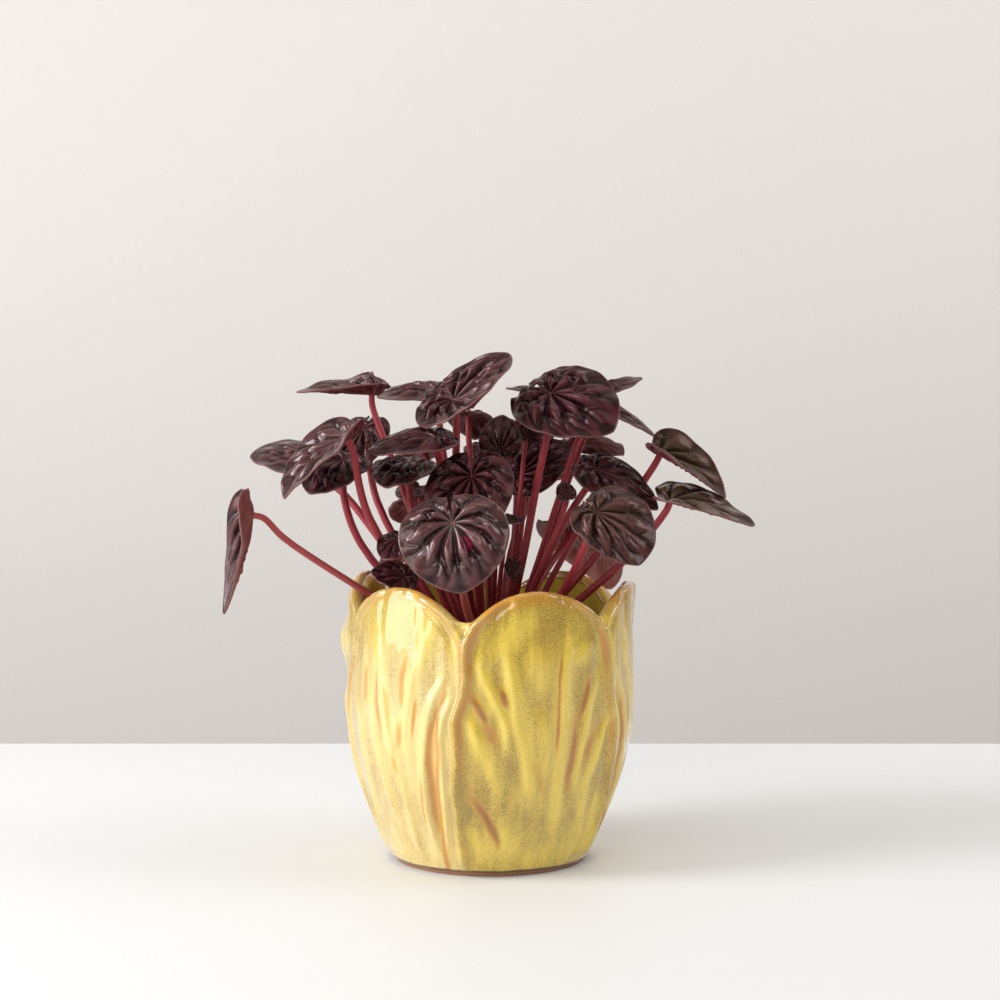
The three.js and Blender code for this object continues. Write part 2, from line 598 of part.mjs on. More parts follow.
function makeBlade(name, leaf) {
  const frame = leafFrame(leaf);
  const rings = leaf.rings === 2 ? [0.55, 1] : [0.36, 0.72, 1];
  const widen = leaf.half / (outline(leaf, 80) * frame.length);
  const upper = [formPoint(leaf, frame, 0, 0)];
  const lower = [upper[0].clone().addScaledVector(formNormal(leaf, frame, 0, 0), -bladeThickness)];
  for (const [ringIndex, ring] of rings.entries()) {
    for (const [spokeIndex, spoke] of spokes.entries()) {
      const distance = outline(leaf, spoke) * ring * frame.length;
      const x = distance * Math.cos(toRadians(spoke));
      const y = distance * Math.sin(toRadians(spoke)) * widen;
      const isVein = spokeIndex % 2 === 1;
      const swell = ring === 1 ? marginSwell : 1 + swellSpread * wobble(name, spokeIndex, ringIndex);
      const margin = ring === 1 ? marginWave * frame.length * wobble(name, spokeIndex, 9) : 0;
      const wave = (isVein ? -veinDepth : pillowHeight) * frame.length * swell + margin;
      const normal = formNormal(leaf, frame, x, y);
      const point = formPoint(leaf, frame, x, y).addScaledVector(normal, wave);
      upper.push(point);
      lower.push(point.clone().addScaledVector(normal, -bladeThickness));
    }
  }
  const columns = spokes.length;
  const below = upper.length;
  const faces = [];
  const addQuad = (a, b, c, d) => faces.push([a, b, c], [a, c, d]);
  for (let k = 0; k < columns - 1; k += 1) {
    faces.push([0, 1 + k, 2 + k], [below, below + 2 + k, below + 1 + k]);
    for (let ring = 1; ring < rings.length; ring += 1) {
      const inner = 1 + (ring - 1) * columns + k;
      const outer = inner + columns;
      addQuad(inner, outer, outer + 1, inner + 1);
      addQuad(below + inner, below + inner + 1, below + outer + 1, below + outer);
    }
    const last = 1 + (rings.length - 1) * columns + k;
    addQuad(last, below + last, below + last + 1, last + 1);
  }
  for (let ring = 0; ring < rings.length; ring += 1) {
    const inner = ring === 0 ? 0 : 1 + (ring - 1) * columns;
    const outer = 1 + ring * columns;
    addQuad(inner, below + inner, below + outer, outer);
    const innerEnd = ring === 0 ? 0 : inner + columns - 1;
    const outerEnd = outer + columns - 1;
    addQuad(innerEnd, outerEnd, below + outerEnd, below + innerEnd);
  }
  return closedGeometry([...upper, ...lower], faces);
}

// Crown and stalks, grown as one piece

function makeStalk(name, leaf) {
  const frame = leafFrame(leaf);
  const normal = formNormal(leaf, frame, 0, 0);
  const end = frame.hub.clone().addScaledVector(normal, -bladeThickness - stalkGap);
  const neck = new THREE.Vector3(...leaf.via[leaf.via.length - 1]).sub(end).normalize();
  neck.addScaledVector(normal, -neckTurn).setLength(stalkNeck);
  const bendPoint = end.clone().add(neck);
  const first = new THREE.Vector3(...leaf.via[0]);
  const heading = Math.atan2(first.y, first.x);
  const spread = Math.min(Math.hypot(first.x, first.y) * stalkGather, crownRadius - 2.5 * stalkRadius);
  const root = new THREE.Vector3(spread * Math.cos(heading), spread * Math.sin(heading), stalkRootHeight);
  const points = [root, ...leaf.via.map((point) => new THREE.Vector3(...point)), bendPoint, end];
  const path = new THREE.CatmullRomCurve3(points, false, 'centripetal');
  const section = new THREE.Shape();
  for (let i = 0; i < stalkSides; i += 1) {
    const turn = (i * 2 * Math.PI) / stalkSides;
    const x = stalkRadius * Math.cos(turn);
    const y = stalkRadius * Math.sin(turn);
    if (i === 0) section.moveTo(x, y);
    else section.lineTo(x, y);
  }
  section.closePath();
  return new THREE.ExtrudeGeometry(section, { steps: stalkSteps, extrudePath: path, curveSegments: 1 });
}

function makeStalks() {
  const middle = (crownBottom + crownTop) / 2;
  const crown = new THREE.LatheGeometry([
    new THREE.Vector2(0, crownBottom),
    new THREE.Vector2(crownRadius * 0.7, crownBottom),
    new THREE.Vector2(crownRadius, middle - 3),
    new THREE.Vector2(crownRadius, middle + 4),
    new THREE.Vector2(crownRadius * 0.75, crownTop - 2),
    new THREE.Vector2(0, crownTop),
  ], crownSides);
  crown.rotateX(Math.PI / 2);
  let solid = toSolid(crown);
  for (const [name, leaf] of Object.entries(leaves)) solid = solid.add(toSolid(makeStalk(name, leaf)));
  return toGeometry(solid);
}

// The object

const group = new THREE.Group();

function addPiece(name, geometry, finish) {
  const mesh = new THREE.Mesh(geometry, finish);
  mesh.name = name;
  group.add(mesh);
}

addPiece('pot', makePot(), material(0xc9a227, 0.15));
addPiece('soil', makeSoil(), material(0x2b1d15, 0.95));
addPiece('leaf_stalks', makeStalks(), material(0x8f2f38, 0.45));
for (const [name, leaf] of Object.entries(leaves)) {
  addPiece(name, makeBlade(name, leaf), material(0x45242a, 0.32));
}

export default group;
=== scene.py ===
import random
import bmesh
import bpy
from math import copysign, cos, exp, pi, radians, sin, sqrt, tan
from mathutils import Matrix, Vector, noise


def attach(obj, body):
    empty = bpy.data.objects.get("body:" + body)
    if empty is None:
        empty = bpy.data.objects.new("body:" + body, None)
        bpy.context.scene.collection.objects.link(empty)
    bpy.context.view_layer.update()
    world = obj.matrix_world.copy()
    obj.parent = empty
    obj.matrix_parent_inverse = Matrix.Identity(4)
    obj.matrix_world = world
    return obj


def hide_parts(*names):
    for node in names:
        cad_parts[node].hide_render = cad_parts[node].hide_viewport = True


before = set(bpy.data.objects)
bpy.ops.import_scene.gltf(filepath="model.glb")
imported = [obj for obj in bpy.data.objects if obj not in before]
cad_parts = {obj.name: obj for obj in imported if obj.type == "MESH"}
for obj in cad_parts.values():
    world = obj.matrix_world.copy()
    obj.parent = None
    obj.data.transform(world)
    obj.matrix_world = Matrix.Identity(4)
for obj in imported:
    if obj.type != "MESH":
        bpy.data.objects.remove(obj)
scene = bpy.context.scene
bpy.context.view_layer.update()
print("frame loaded,", len(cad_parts), "nodes")

mm = 0.001
# points closer than this, in metres, are merged
weld = 0.00001


# Shapes are worked out in millimetres and degrees, and stored in metres.
def smooth(low, high, value):
    part = min(max((value - low) / (high - low), 0), 1)
    return part * part * (3 - 2 * part)


def mixed(first, second, part):
    return first + (second - first) * part


def bump(distance, width):
    return exp(-(distance / width) ** 2)


def band(position, place):
    # a bump at a place given as (middle, width)
    return bump(position - place[0], place[1])


def uneven(x, y, z):
    # smooth noise from -1 to 1: the factors of x, y and z set its size, what is added to them picks another patch
    return noise.noise(Vector((x, y, z)))


def along(points, position):
    # value of a line through (position, value) points, which run upwards
    low = points[0]
    for high in points[1:]:
        if position <= high[0]:
            part = max((position - low[0]) / (high[0] - low[0]), 0)
            return mixed(low[1], high[1], part)
        low = high
    return points[-1][1]


def addObject(name, data):
    added = bpy.data.objects.new(name, data)
    scene.collection.objects.link(added)
    return added


def meshObject(name, bm, materials):
    mesh = bpy.data.meshes.new(name)
    bm.to_mesh(mesh)
    bm.free()
    for material in materials:
        mesh.materials.append(material)
    return addObject(name, mesh)


def finishPiece(name, bm, materials, node):
    # shaded smooth, riding on the plant's one body, in place of its CAD node
    piece = meshObject(name, bm, materials)
    piece.data.shade_smooth()
    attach(piece, "root")
    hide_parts(node)
    return piece


# Shader maths: a socket that adds Math nodes when it is calculated with
class Value:
    def __init__(self, finish, socket):
        self.finish = finish
        self.socket = socket

    def __add__(self, other):
        return self.finish.maths("ADD", self, other)

    def __sub__(self, other):
        return self.finish.maths("SUBTRACT", self, other)

    def __rsub__(self, other):
        return self.finish.maths("SUBTRACT", other, self)

    def __mul__(self, other):
        return self.finish.maths("MULTIPLY", self, other)

    __radd__ = __add__
    __rmul__ = __mul__


class Finish:
    # one material with a Principled shader; constants go straight onto its sockets
    def __init__(self, name, **constants):
        self.material = bpy.data.materials.new(name)
        self.material.use_nodes = True
        self.tree = self.material.node_tree
        self.shader = self.tree.nodes["Principled BSDF"]
        for socketName, value in constants.items():
            self.shader.inputs[socketName.replace("_", " ")].default_value = value

    def node(self, kind, settings, inputs, output=0):
        made = self.tree.nodes.new(kind)
        for key, value in settings.items():
            setattr(made, key, value)
        for socketName, value in inputs.items():
            self.join(value, made.inputs[socketName])
        return Value(self, made.outputs[output])

    def join(self, value, socket):
        if isinstance(value, Value):
            self.tree.links.new(value.socket, socket)
        elif isinstance(value, tuple) and len(value) == 3 and socket.type == "RGBA":
            socket.default_value = (*value, 1)
        else:
            socket.default_value = value

    def maths(self, operation, first, second):
        return self.node("ShaderNodeMath", {"operation": operation}, {0: first, 1: second})

    def place(self):
        return self.node("ShaderNodeTexCoord", {}, {}, "Object")

    def attribute(self, name):
        return self.node("ShaderNodeAttribute", {"attribute_name": name}, {}, "Fac")

    def stretched(self, vector, scale):
        return self.node("ShaderNodeMapping", {}, {"Vector": vector, "Scale": scale})

    def heightOf(self, vector):
        return self.node("ShaderNodeSeparateXYZ", {}, {"Vector": vector}, "Z")

    def noise(self, vector, scale, detail=2.0, roughness=0.5):
        inputs = {"Vector": vector, "Scale": scale, "Detail": detail, "Roughness": roughness}
        return self.node("ShaderNodeTexNoise", {}, inputs, "Fac")

    def step(self, value, low, high):
        # 0 below low, 1 above high, smooth between them
        return self.node("ShaderNodeMapRange", {"interpolation_type": "SMOOTHSTEP"},
                         {"Value": value, "From Min": low, "From Max": high})

    def mix(self, factor, first, second):
        # the Mix node's colour sockets are its inputs 6 and 7 and its output 2
        return self.node("ShaderNodeMix", {"data_type": "RGBA"}, {0: factor, 6: first, 7: second}, 2)

    def colour(self, value):
        self.join(value, self.shader.inputs["Base Color"])

    def rough(self, value):
        self.join(value, self.shader.inputs["Roughness"])

    def coat(self, value):
        self.join(value, self.shader.inputs["Coat Weight"])

    def relief(self, height, distance, strength):
        normal = self.node("ShaderNodeBump", {}, {"Height": height, "Distance": distance, "Strength": strength})
        self.join(normal, self.shader.inputs["Normal"])


# The pot: six overlapping petals in glazed clay
# bands are (mm inside a petal's edge, width), footBand (height, width), the other pairs from one value to another
pot = {
    "footRadius": 39.4,
    "bellyRadius": 56.6,
    "bellyHeight": 60,
    "bellyCurve": 1.1,
    "wall": 4.6,
    "floor": 6,
    "footHeight": 2.0,
    "footInset": 0.7,
    "footChamfer": 0.7,
    "shoulder": 84,
    "topHeight": 27,
    "outlineCurve": 2.1,
    "rimBase": 99.6,
    "rimBlend": 2.4,
    "leanReach": 34,
    "leanCurve": 1.5,
    "stepReach": 36,
    "tallStep": 2.4,
    "plainEdge": (1.2, 1.2),
    "edgeBlend": (-0.9, 0.7),
    "edgeWave": 0.7,
    "bead": (1.7, 2.1),
    "groove": (5.4, 1.9),
    "grooveDepth": 0.6,
    "waves": 0.75,
    "wavesMargin": 6,
    "innerWaves": 0.5,
    "reliefFrom": (1, 9),
    "strokeFade": 11,
    "shortStroke": 30,
    "strokeSway": 0.5,
    "strokeMargin": 4,
    "strokeWiden": (1.9, 1.25),
    "lemonBeside": (-3, 1.5),
    # where an edge stands out, an amber band of painted shadow falls on the neighbour, fading between these heights
    "shadowBeside": (-5.8, 1.1),
    "shadowStrength": 0.9,
    "shadowHeights": (64, 84),
    "shadowFade": 0.75,
    "footBand": (10, 11),
    "footLemon": 0.5,
    "edgeBand": (3.2, 1.6),
    "edgeLine": (0.2, 0.9),
    "edgeLineStain": 0.9,
    "flatStain": 0.25,
    "rollStain": 0.4,
    "unevenStain": 0.6,
    "lowStain": 0.45,
    "stainHeights": (25, 75),
    "rimStain": 0.7,
    "rimStainWidth": 4.5,
    "notchStain": 0.35,
    "notchHeights": (2, 8),
    "paleStain": 0.6,
    "crestCurve": (0.6, 4),
    "columns": 440,
    "outerRows": 130,
    "rimRows": 14,
    "innerRows": 44,
    "floorRows": 5,
    "colours": {
        "yellow": ((0.55, 0.37, 0.06), (0.86, 0.64, 0.09)),
        # pale is a painted sheen, mixed into the glaze of the petals with little olive
        "pale": ((0.70, 0.52, 0.22), (0.84, 0.71, 0.42)),
        "speckle": (0.18, 0.11, 0.022),
        "thin": (0.74, 0.40, 0.05),
        "amber": (0.66, 0.30, 0.05),
        "brown": ((0.20, 0.075, 0.015), (0.50, 0.20, 0.03)),
        "rolled": ((0.38, 0.15, 0.015), (0.74, 0.33, 0.035)),
        "lowEdge": (0.05, 0.028, 0.018),
        "clay": ((0.30, 0.14, 0.07), (0.50, 0.26, 0.14)),
        "burnt": (0.035, 0.02, 0.014),
    },
}

# azimuths in degrees from the front towards the right; lean is in mm and layer says which petal lies on top; sides are
# the paths of the left and the right edge below the shoulder, as (height, degrees from the petal's middle), edges
# their step over the neighbour and their roll in mm, swells (height, mm, spread)
plainSide = [(0, 36), (84, 34)]
# olive also sets the painted sheen: the less olive a petal has, the more pale painted sheen its glaze gets
petals = [
    {"azimuth": 20, "apex": 111, "lean": -3, "layer": 3, "folds": "open", "flip": 1, "olive": 1,
     "edges": ((2.4, 1.7), (2.2, 1.2)),
     "sides": ([(7, 34.7), (33, 35.6), (48, 34.1), (63, 34.3), (72, 31.7), (80, 30.7), (84, 31.3)],
               [(10, 41.5), (25, 40), (43, 37.8), (59, 36.4), (75, 34), (84, 33)])},
    {"azimuth": 84, "apex": 111.3, "lean": 1.4, "layer": 2, "folds": "closed", "flip": -1, "olive": 0.7,
     "edges": (pot["plainEdge"], (1.6, 1.2)), "sides": ([(0, 38), (84, 38)], plainSide)},
    {"azimuth": 144, "apex": 111.2, "lean": -1.8, "layer": 1, "folds": "open", "flip": -1, "olive": 0.8,
     "edges": (pot["plainEdge"], pot["plainEdge"]), "sides": (plainSide, plainSide)},
    {"azimuth": 203, "apex": 111.5, "lean": -2, "layer": 0, "folds": "closed", "flip": 1, "olive": 0.6,
     "edges": ((0.6, 0.8), (0.6, 0.8)), "sides": (plainSide, plainSide)},
    {"azimuth": 260, "apex": 114.5, "lean": -2.4, "layer": 1, "folds": "open", "flip": 1, "olive": 0.5,
     "edges": (pot["plainEdge"], (0, 0.8)), "sides": (plainSide, plainSide), "swells": [(89, 3.4, 9), (63, 1.3, 6)]},
    {"azimuth": 318.5, "apex": 111.8, "lean": -2.8, "layer": 2, "folds": "closed", "flip": 1, "olive": 0.45,
     "edges": ((0.3, 0.9), pot["plainEdge"]), "sides": ([(8, 38), (30, 39), (60, 39), (74, 36), (84, 30)], plainSide)},
]

# folds of the clay and strokes of the glaze: (height, degrees from the petal's middle) points running upwards, width
# and rise in mm, and how lemon (above 0) or how amber (below 0) the glaze is there
folds = {
    "open": [
        ([(54, -13), (63, -14.5), (71, -17.8), (77, -21.2), (84, -24)], 1.5, 0.9, 1),
        ([(32, -1.6), (43, -4.3), (54, -6.7), (63, -9.2), (73, -10.7), (83, -12.6), (91, -13.5)], 1.8, 0.9, 1),
        ([(36, -16.7), (45, -19.8), (54, -23.6), (64, -28.3)], 2.3, 0.8, 0.8),
        ([(18, 11.1), (31, 9.7), (44, 8.6), (57, 9.3), (70, 9.8), (83, 10.9), (95, 13.2)], 1.9, 0.9, 1),
        ([(38, 17.6), (48, 18.4), (58, 19.5), (68, 22.1), (76, 24.8)], 1.2, 0.8, 0.9),
        ([(16, 27.9), (25, 24.9), (38, 23.3), (45, 25.8), (55, 28.9), (65, 33.6)], 1.2, 0.8, 0.9),
        ([(14, 34.1), (22, 32), (31, 32.4)], 1.2, 0.4, 0.7),
        ([(8, -25), (15, -27.1), (22, -28.9)], 1.8, 0.4, 0.8),
        ([(8, -8), (15, -11.3), (22, -15.2)], 1.8, 0.4, 0.8),
        ([(74, 0.7), (84, -1.3), (92, -1.6)], 3.3, 0.3, 0.6),
        ([(83, 16.3), (91, 19.1)], 3, 0.3, 0.7),
        ([(86, -16), (94, -12), (102, -6)], 3.4, 0.2, 0.9),
        ([(38, 2.1), (51, 2), (65, 2.3)], 2.4, 0.3, 0.4),
        ([(68, -13.6), (75, -15.9)], 1.2, 0.4, -1),
        ([(62, -21.2), (66, -23.6), (72, -26.9)], 1.2, 0.4, -1),
        ([(54, -17.8), (63, -21.6)], 2.6, -0.5, -0.6),
        ([(14, -15.9), (19, -18.6), (27, -23), (34, -27.5)], 1.6, 0.5, -1),
        ([(62, 16.9), (69, 19.4), (78, 22.1)], 1, 0.5, -1),
        ([(33, 13.7), (40, 13.4), (48, 14.5), (61, 16.3)], 1.5, -0.4, -0.8),
        ([(41, 19.6), (50, 22.1), (61, 27.1)], 2, -0.6, -0.5),
        ([(47, 7.1), (63, 7.6), (78, 8.1), (91, 9.5)], 0.8, -0.4, -0.7),
        ([(34, 1.5), (40, -0.3), (49, -4.1)], 2.2, -0.3, -0.4),
    ],
    "closed": [
        ([(41, -0.5), (52, -0.6), (65, -3.6), (76, -5.8), (90, -7.6)], 1.6, 0.8, 0.9),
        ([(25, -6.7), (37, -7), (50, -9.2), (62, -12.5), (73, -14.2)], 1.4, 0.8, 0.9),
        ([(17, -25.2), (30, -21.5), (43, -20.2), (58, -20.9), (72, -24.6)], 1.4, 0.8, 0.8),
        ([(50, 5.8), (60, 6.9), (70, 8.7), (81, 11.1)], 1.8, 0.8, 0.9),
        ([(79, 13.3), (87, 15.5), (98, 18.8)], 2.4, 0.7, 0.7),
        ([(10, 15.4), (18, 14.8), (27, 13.9), (37, 14.1), (51, 15.2), (62, 17.1), (70, 19.7), (79, 23.3)],
         1.7, 1.3, 0.9),
        ([(10, 20.8), (28, 22.4), (43, 22.6), (56, 22.2), (63, 23.8), (71, 27.3)], 1.4, 1.2, 0.9),
        ([(11, 1.8), (20, 2.5), (30, 3.5), (40, 3.5)], 1.8, 0.3, 0.6),
        ([(55, -6.1), (68, -8.9), (81, -8.9)], 1.1, -0.5, -0.8),
        ([(67, -17.3), (80, -17.2)], 0.8, -0.3, -0.8),
        ([(66, 4.7), (77, 5.1), (86, 7.5)], 1, -0.4, -0.8),
        ([(50, 3.3), (62, 5.1)], 1.5, -0.3, -0.6),
        ([(56, 10.2), (70, 11.6)], 0.7, 0.2, -0.9),
        ([(19, 17.7), (32, 17.4), (47, 17.6), (57, 19), (68, 21.3)], 1.5, -0.6, -0.9),
        ([(20, 11.9), (29, 11.8), (39, 12.7)], 0.7, 0.2, -1),
        ([(40, 0.8), (48, -0.4)], 1.3, -0.3, -0.5),
    ],
}
layeredPetals = sorted(range(len(petals)), key=lambda index: petals[index]["layer"])


def bodyRadius(height):
    rise = sin(min(max(height, 0) / pot["bellyHeight"], 1) * pi / 2)
    return mixed(pot["footRadius"], pot["bellyRadius"], rise ** pot["bellyCurve"])


def fromPetal(petal, azimuth):
    return (azimuth - petal["azimuth"] + 180) % 360 - 180


def spread(rise):
    # how wide a petal's rounded top is at a height, as a part of its width at the shoulder
    return max(1 - min(max(rise, 0), 1) ** pot["outlineCurve"], 0) ** (1 / pot["outlineCurve"])


def rimHeight(azimuth):
    # the highest petal outline here, blended into the height that all petals share
    crest = 0
    for petal in petals:
        degrees = fromPetal(petal, azimuth)
        half = petal["sides"][degrees > 0][-1][1]
        arc = spread(abs(degrees) / half) * (petal["apex"] - pot["shoulder"])
        crest = max(crest, pot["shoulder"] + arc)
    above = crest - pot["rimBase"]
    return pot["rimBase"] + (above + sqrt(above ** 2 + pot["rimBlend"] ** 2)) / 2


def petalLean(azimuth, height):
    bend = max((height - pot["shoulder"]) / pot["topHeight"], 0) ** pot["leanCurve"]
    offset = 0
    for petal in petals:
        near = smooth(0, 1, 1 - abs(fromPetal(petal, azimuth)) / pot["leanReach"])
        swell = sum(rise * bump(height - middle, width) for middle, rise, width in petal.get("swells", []))
        offset += (petal["lean"] * bend + swell) * near
    return offset


def petalSkin(azimuth, height):
    # relief in mm; how lemon or amber the glaze is (amber also carries painted shadow beside raised edges), how near a
    # petal's edge and how olive, from 0 to 1
    relief = lemon = amber = edge = olive = 0
    toMm = radians(1) * bodyRadius(height)
    for index in layeredPetals:
        petal = petals[index]
        degrees = fromPetal(petal, azimuth)
        half = along(petal["sides"][degrees > 0], min(height, pot["shoulder"]))
        half *= spread((height - pot["shoulder"]) / pot["topHeight"])
        half += pot["edgeWave"] * uneven(height * 0.055, index * 5.3 + (degrees > 0) * 2.1, 0)
        inside = (half - abs(degrees)) * toMm
        cover = smooth(*pot["edgeBlend"], inside)
        step, roll = petal["edges"][degrees > 0]
        if roll > 1 and inside < 0:
            # beside a raised edge the neighbour gets a lemon band of glaze and, further out, an amber band of painted
            # shadow that fades towards the top
            beside = step / pot["tallStep"]
            lemon = max(lemon, beside * band(inside, pot["lemonBeside"]))
            lower = 1 - pot["shadowFade"] * smooth(*pot["shadowHeights"], height)
            amber = max(amber, pot["shadowStrength"] * beside * lower * band(inside, pot["shadowBeside"]))
        if cover == 0:
            continue
        level = step * min(abs(degrees) / pot["stepReach"], 1) ** 3
        level += roll * band(inside, pot["bead"]) - pot["grooveDepth"] * band(inside, pot["groove"])
        lemonHere = amberHere = 0
        for line, width, rise, tint in folds[petal["folds"]]:
            low, high = line[0][0], line[-1][0]
            fade = pot["strokeFade"] * min((high - low) / pot["shortStroke"], 1)
            ends = smooth(low - fade, low + fade, height) * (1 - smooth(high - fade, high + fade, height))
            if ends == 0:
                continue
            sway = pot["strokeSway"] * uneven(height * 0.07, index * 3.7, low * 0.3)
            distance = (degrees * petal["flip"] - along(line, height) - sway) * toMm
            level += rise * bump(distance, width) * ends * smooth(0, pot["strokeMargin"], inside)
            stroke = bump(distance, width * pot["strokeWiden"][tint < 0]) * ends
            stroke *= smooth(-1, pot["strokeMargin"], inside)
            if tint > 0:
                lemonHere = max(lemonHere, tint * stroke)
            else:
                amberHere = max(amberHere, -tint * stroke)
        waves = uneven(degrees * 0.15, height * 0.03, index * 9.1)
        waves += 0.5 * uneven(degrees * 0.3, height * 0.06, index * 9.1 + 4)
        level += pot["waves"] * waves * smooth(0, pot["wavesMargin"], inside)
        relief = mixed(relief, level, cover)
        lemon = mixed(lemon, lemonHere, cover)
        amber = mixed(amber, amberHere, cover)
        stain = min(pot["flatStain"] + pot["rollStain"] * roll, 1)
        stain += pot["unevenStain"] * uneven(height * 0.06, index * 3.3, degrees * 0.01)
        stain *= mixed(pot["lowStain"], 1, smooth(*pot["stainHeights"], height))
        near = max(band(inside, pot["edgeBand"]), pot["edgeLineStain"] * band(inside, pot["edgeLine"]))
        edge = mixed(edge, stain * near, cover)
        olive = mixed(olive, petal["olive"], cover)
    return relief * smooth(*pot["reliefFrom"], height), lemon, amber, edge, olive


def makePot():
    bm = bmesh.new()
    layers = [bm.verts.layers.float.new(name) for name in ("lemon", "amber", "edge", "olive")]
    # rows of the grid from the foot's middle up the outside, over the rim, down the inside and over the floor
    wallStart = 3
    rimStart = wallStart + pot["outerRows"]
    insideStart = rimStart + pot["rimRows"]
    floorStart = insideStart + pot["innerRows"]
    rows = floorStart + pot["floorRows"]
    foot = pot["footRadius"] - pot["footInset"]
    bmesh.ops.create_grid(bm, x_segments=pot["columns"], y_segments=rows, size=1)
    for vert in bm.verts:
        azimuth = (vert.co.x + 1) * 180
        row = round((vert.co.y + 1) / 2 * rows)
        top = rimHeight(azimuth)
        edgeHeight = top - pot["wall"] / 2
        values = (0, 0, 0, 0)
        if row == 0:
            radius, height = 0, 0
        elif row == 1:
            radius, height = foot - pot["footChamfer"], 0
        elif row == 2:
            radius, height = foot, pot["footChamfer"]
        elif row == wallStart:
            radius, height = foot, pot["footHeight"]
        elif row <= insideStart:
            part = min((row - wallStart - 1) / (pot["outerRows"] - 1), 1)
            height = mixed(pot["footHeight"], edgeHeight, part)
            relief, *values = petalSkin(azimuth, height)
            stain = mixed(pot["notchStain"], 1, smooth(*pot["notchHeights"], top - pot["rimBase"]))
            stain *= mixed(pot["paleStain"], 1, values[3])
            values[0] = max(values[0], pot["footLemon"] * band(height, pot["footBand"]))
            values[2] = max(values[2], stain * pot["rimStain"] * bump(edgeHeight - height, pot["rimStainWidth"]))
            wall = bodyRadius(height) + petalLean(azimuth, height)
            radius = wall + relief
            if row > rimStart:
                # round over the rim, from the outer face to the inner one
                turn = pi * (row - rimStart) / pot["rimRows"]
                middle = (radius + wall - pot["wall"]) / 2
                radius = middle + (radius - middle) * cos(turn)
                height += pot["wall"] / 2 * sin(turn)
                values[2] = max(values[2], stain * sin(turn) ** pot["crestCurve"][turn >= pi / 2])
        elif row <= floorStart:
            part = (row - insideStart) / pot["innerRows"]
            height = mixed(edgeHeight, pot["floor"], part)
            waves = pot["innerWaves"] * uneven(azimuth * 0.12, height * 0.03, 4)
            radius = bodyRadius(height) + petalLean(azimuth, height) - pot["wall"] + waves * smooth(0, 0.1, part)
            values = (1, 0, 0, 1)
        else:
            part = (row - floorStart) / pot["floorRows"]
            radius = (bodyRadius(pot["floor"]) - pot["wall"]) * (1 - part)
            height = pot["floor"]
        turn = radians(azimuth)
        vert.co = Vector((radius * sin(turn), -radius * cos(turn), height)) * mm
        for layer, value in zip(layers, values):
            vert[layer] = value
    bmesh.ops.remove_doubles(bm, verts=bm.verts, dist=weld)
    bmesh.ops.recalc_face_normals(bm, faces=bm.faces)
    for face in bm.faces:
        # the foot is bare clay
        face.material_index = 1 if face.calc_center_median().z < pot["footHeight"] * mm * 1.01 else 0
    return bm


def glazeFinish():
    glaze = Finish("yellow crackle glaze", IOR=1.5, Coat_Weight=1, Coat_Roughness=0.06)
    colours = pot["colours"]
    place = glaze.place()
    lemon, amber, edge, olive = (glaze.attribute(name) for name in ("lemon", "amber", "edge", "olive"))
    clouds = glaze.noise(glaze.stretched(place, (1, 1, 0.4)), 38, 3, 0.6)
    streaks = glaze.noise(glaze.stretched(place, (1, 1, 0.12)), 230, 3, 0.6)
    wisps = glaze.noise(glaze.stretched(place, (1, 1, 0.18)), 640, 2, 0.6)
    patches = glaze.noise(glaze.stretched(place, (1, 1, 0.35)), 90, 2, 0.5)
    speckle = glaze.noise(place, 2300, 2, 0.7)
    height = glaze.heightOf(place)
    flow = clouds * 0.5 + streaks * 0.7 + wisps * 0.25
    yellow = glaze.step(lemon * 0.55 + flow - olive * 0.06 - amber * 0.15, 0.45, 1.15)
    ground = glaze.mix(yellow, *colours["yellow"])
    # pale cream painted sheen, strongest on the petals with little olive and weaker towards the top
    pale = glaze.mix(streaks, *colours["pale"])
    ground = glaze.mix((1 - olive) * (1 - glaze.step(height, 0.07, 0.1) * 0.7), ground, pale)
    dots = 1 - glaze.step(speckle, 0.40, 0.56)
    dotted = dots * (1 - yellow * 0.7) * glaze.step(patches + olive * 0.25, 0.35, 0.8)
    ground = glaze.mix(dotted * 0.9, ground, colours["speckle"])
    # amber marks the thin glaze of the strokes and the painted shadow beside raised edges; both turn amber-brown here
    thin = glaze.step(amber * 1.1 + wisps * 0.6 + streaks * 0.4 - lemon * 0.2, 0.45, 1.6)
    worn = glaze.mix(olive, colours["amber"], glaze.mix(wisps, *colours["brown"]))
    ground = glaze.mix(glaze.step(thin, 0, 0.55) * 0.95, ground, glaze.mix(thin, colours["thin"], worn))
    rolled = glaze.step(edge + clouds * 0.5 + streaks * 0.25 + wisps * 0.15, 0.65, 1.45)
    ground = glaze.mix(rolled * 0.9, ground, glaze.mix(streaks, *colours["rolled"]))
    lowEdge = 1 - glaze.step(height + patches * 0.0012, 0.0028, 0.0036)
    ground = glaze.mix(lowEdge, ground, colours["lowEdge"])
    glaze.colour(ground)
    glaze.rough(0.14 + dots * 0.05)
    glaze.relief(clouds * 0.5 + wisps * 0.14 + speckle * 0.03, 0.0008, 0.4)
    return glaze.material


def clayFinish():
    clay = Finish("bare brown clay", IOR=1.45)
    place = clay.place()
    grain = clay.noise(place, 900, 4, 0.6)
    burnt = clay.step(clay.heightOf(place), 0.0015, 0.0021)
    clay.colour(clay.mix(burnt, clay.mix(grain, *pot["colours"]["clay"]), pot["colours"]["burnt"]))
    clay.rough(0.5 + grain * 0.25)
    clay.relief(grain, 0.0003, 0.5)
    return clay.material


finishPiece("petalPot", makePot(), [glazeFinish(), clayFinish()], "pot")
print("pot made")


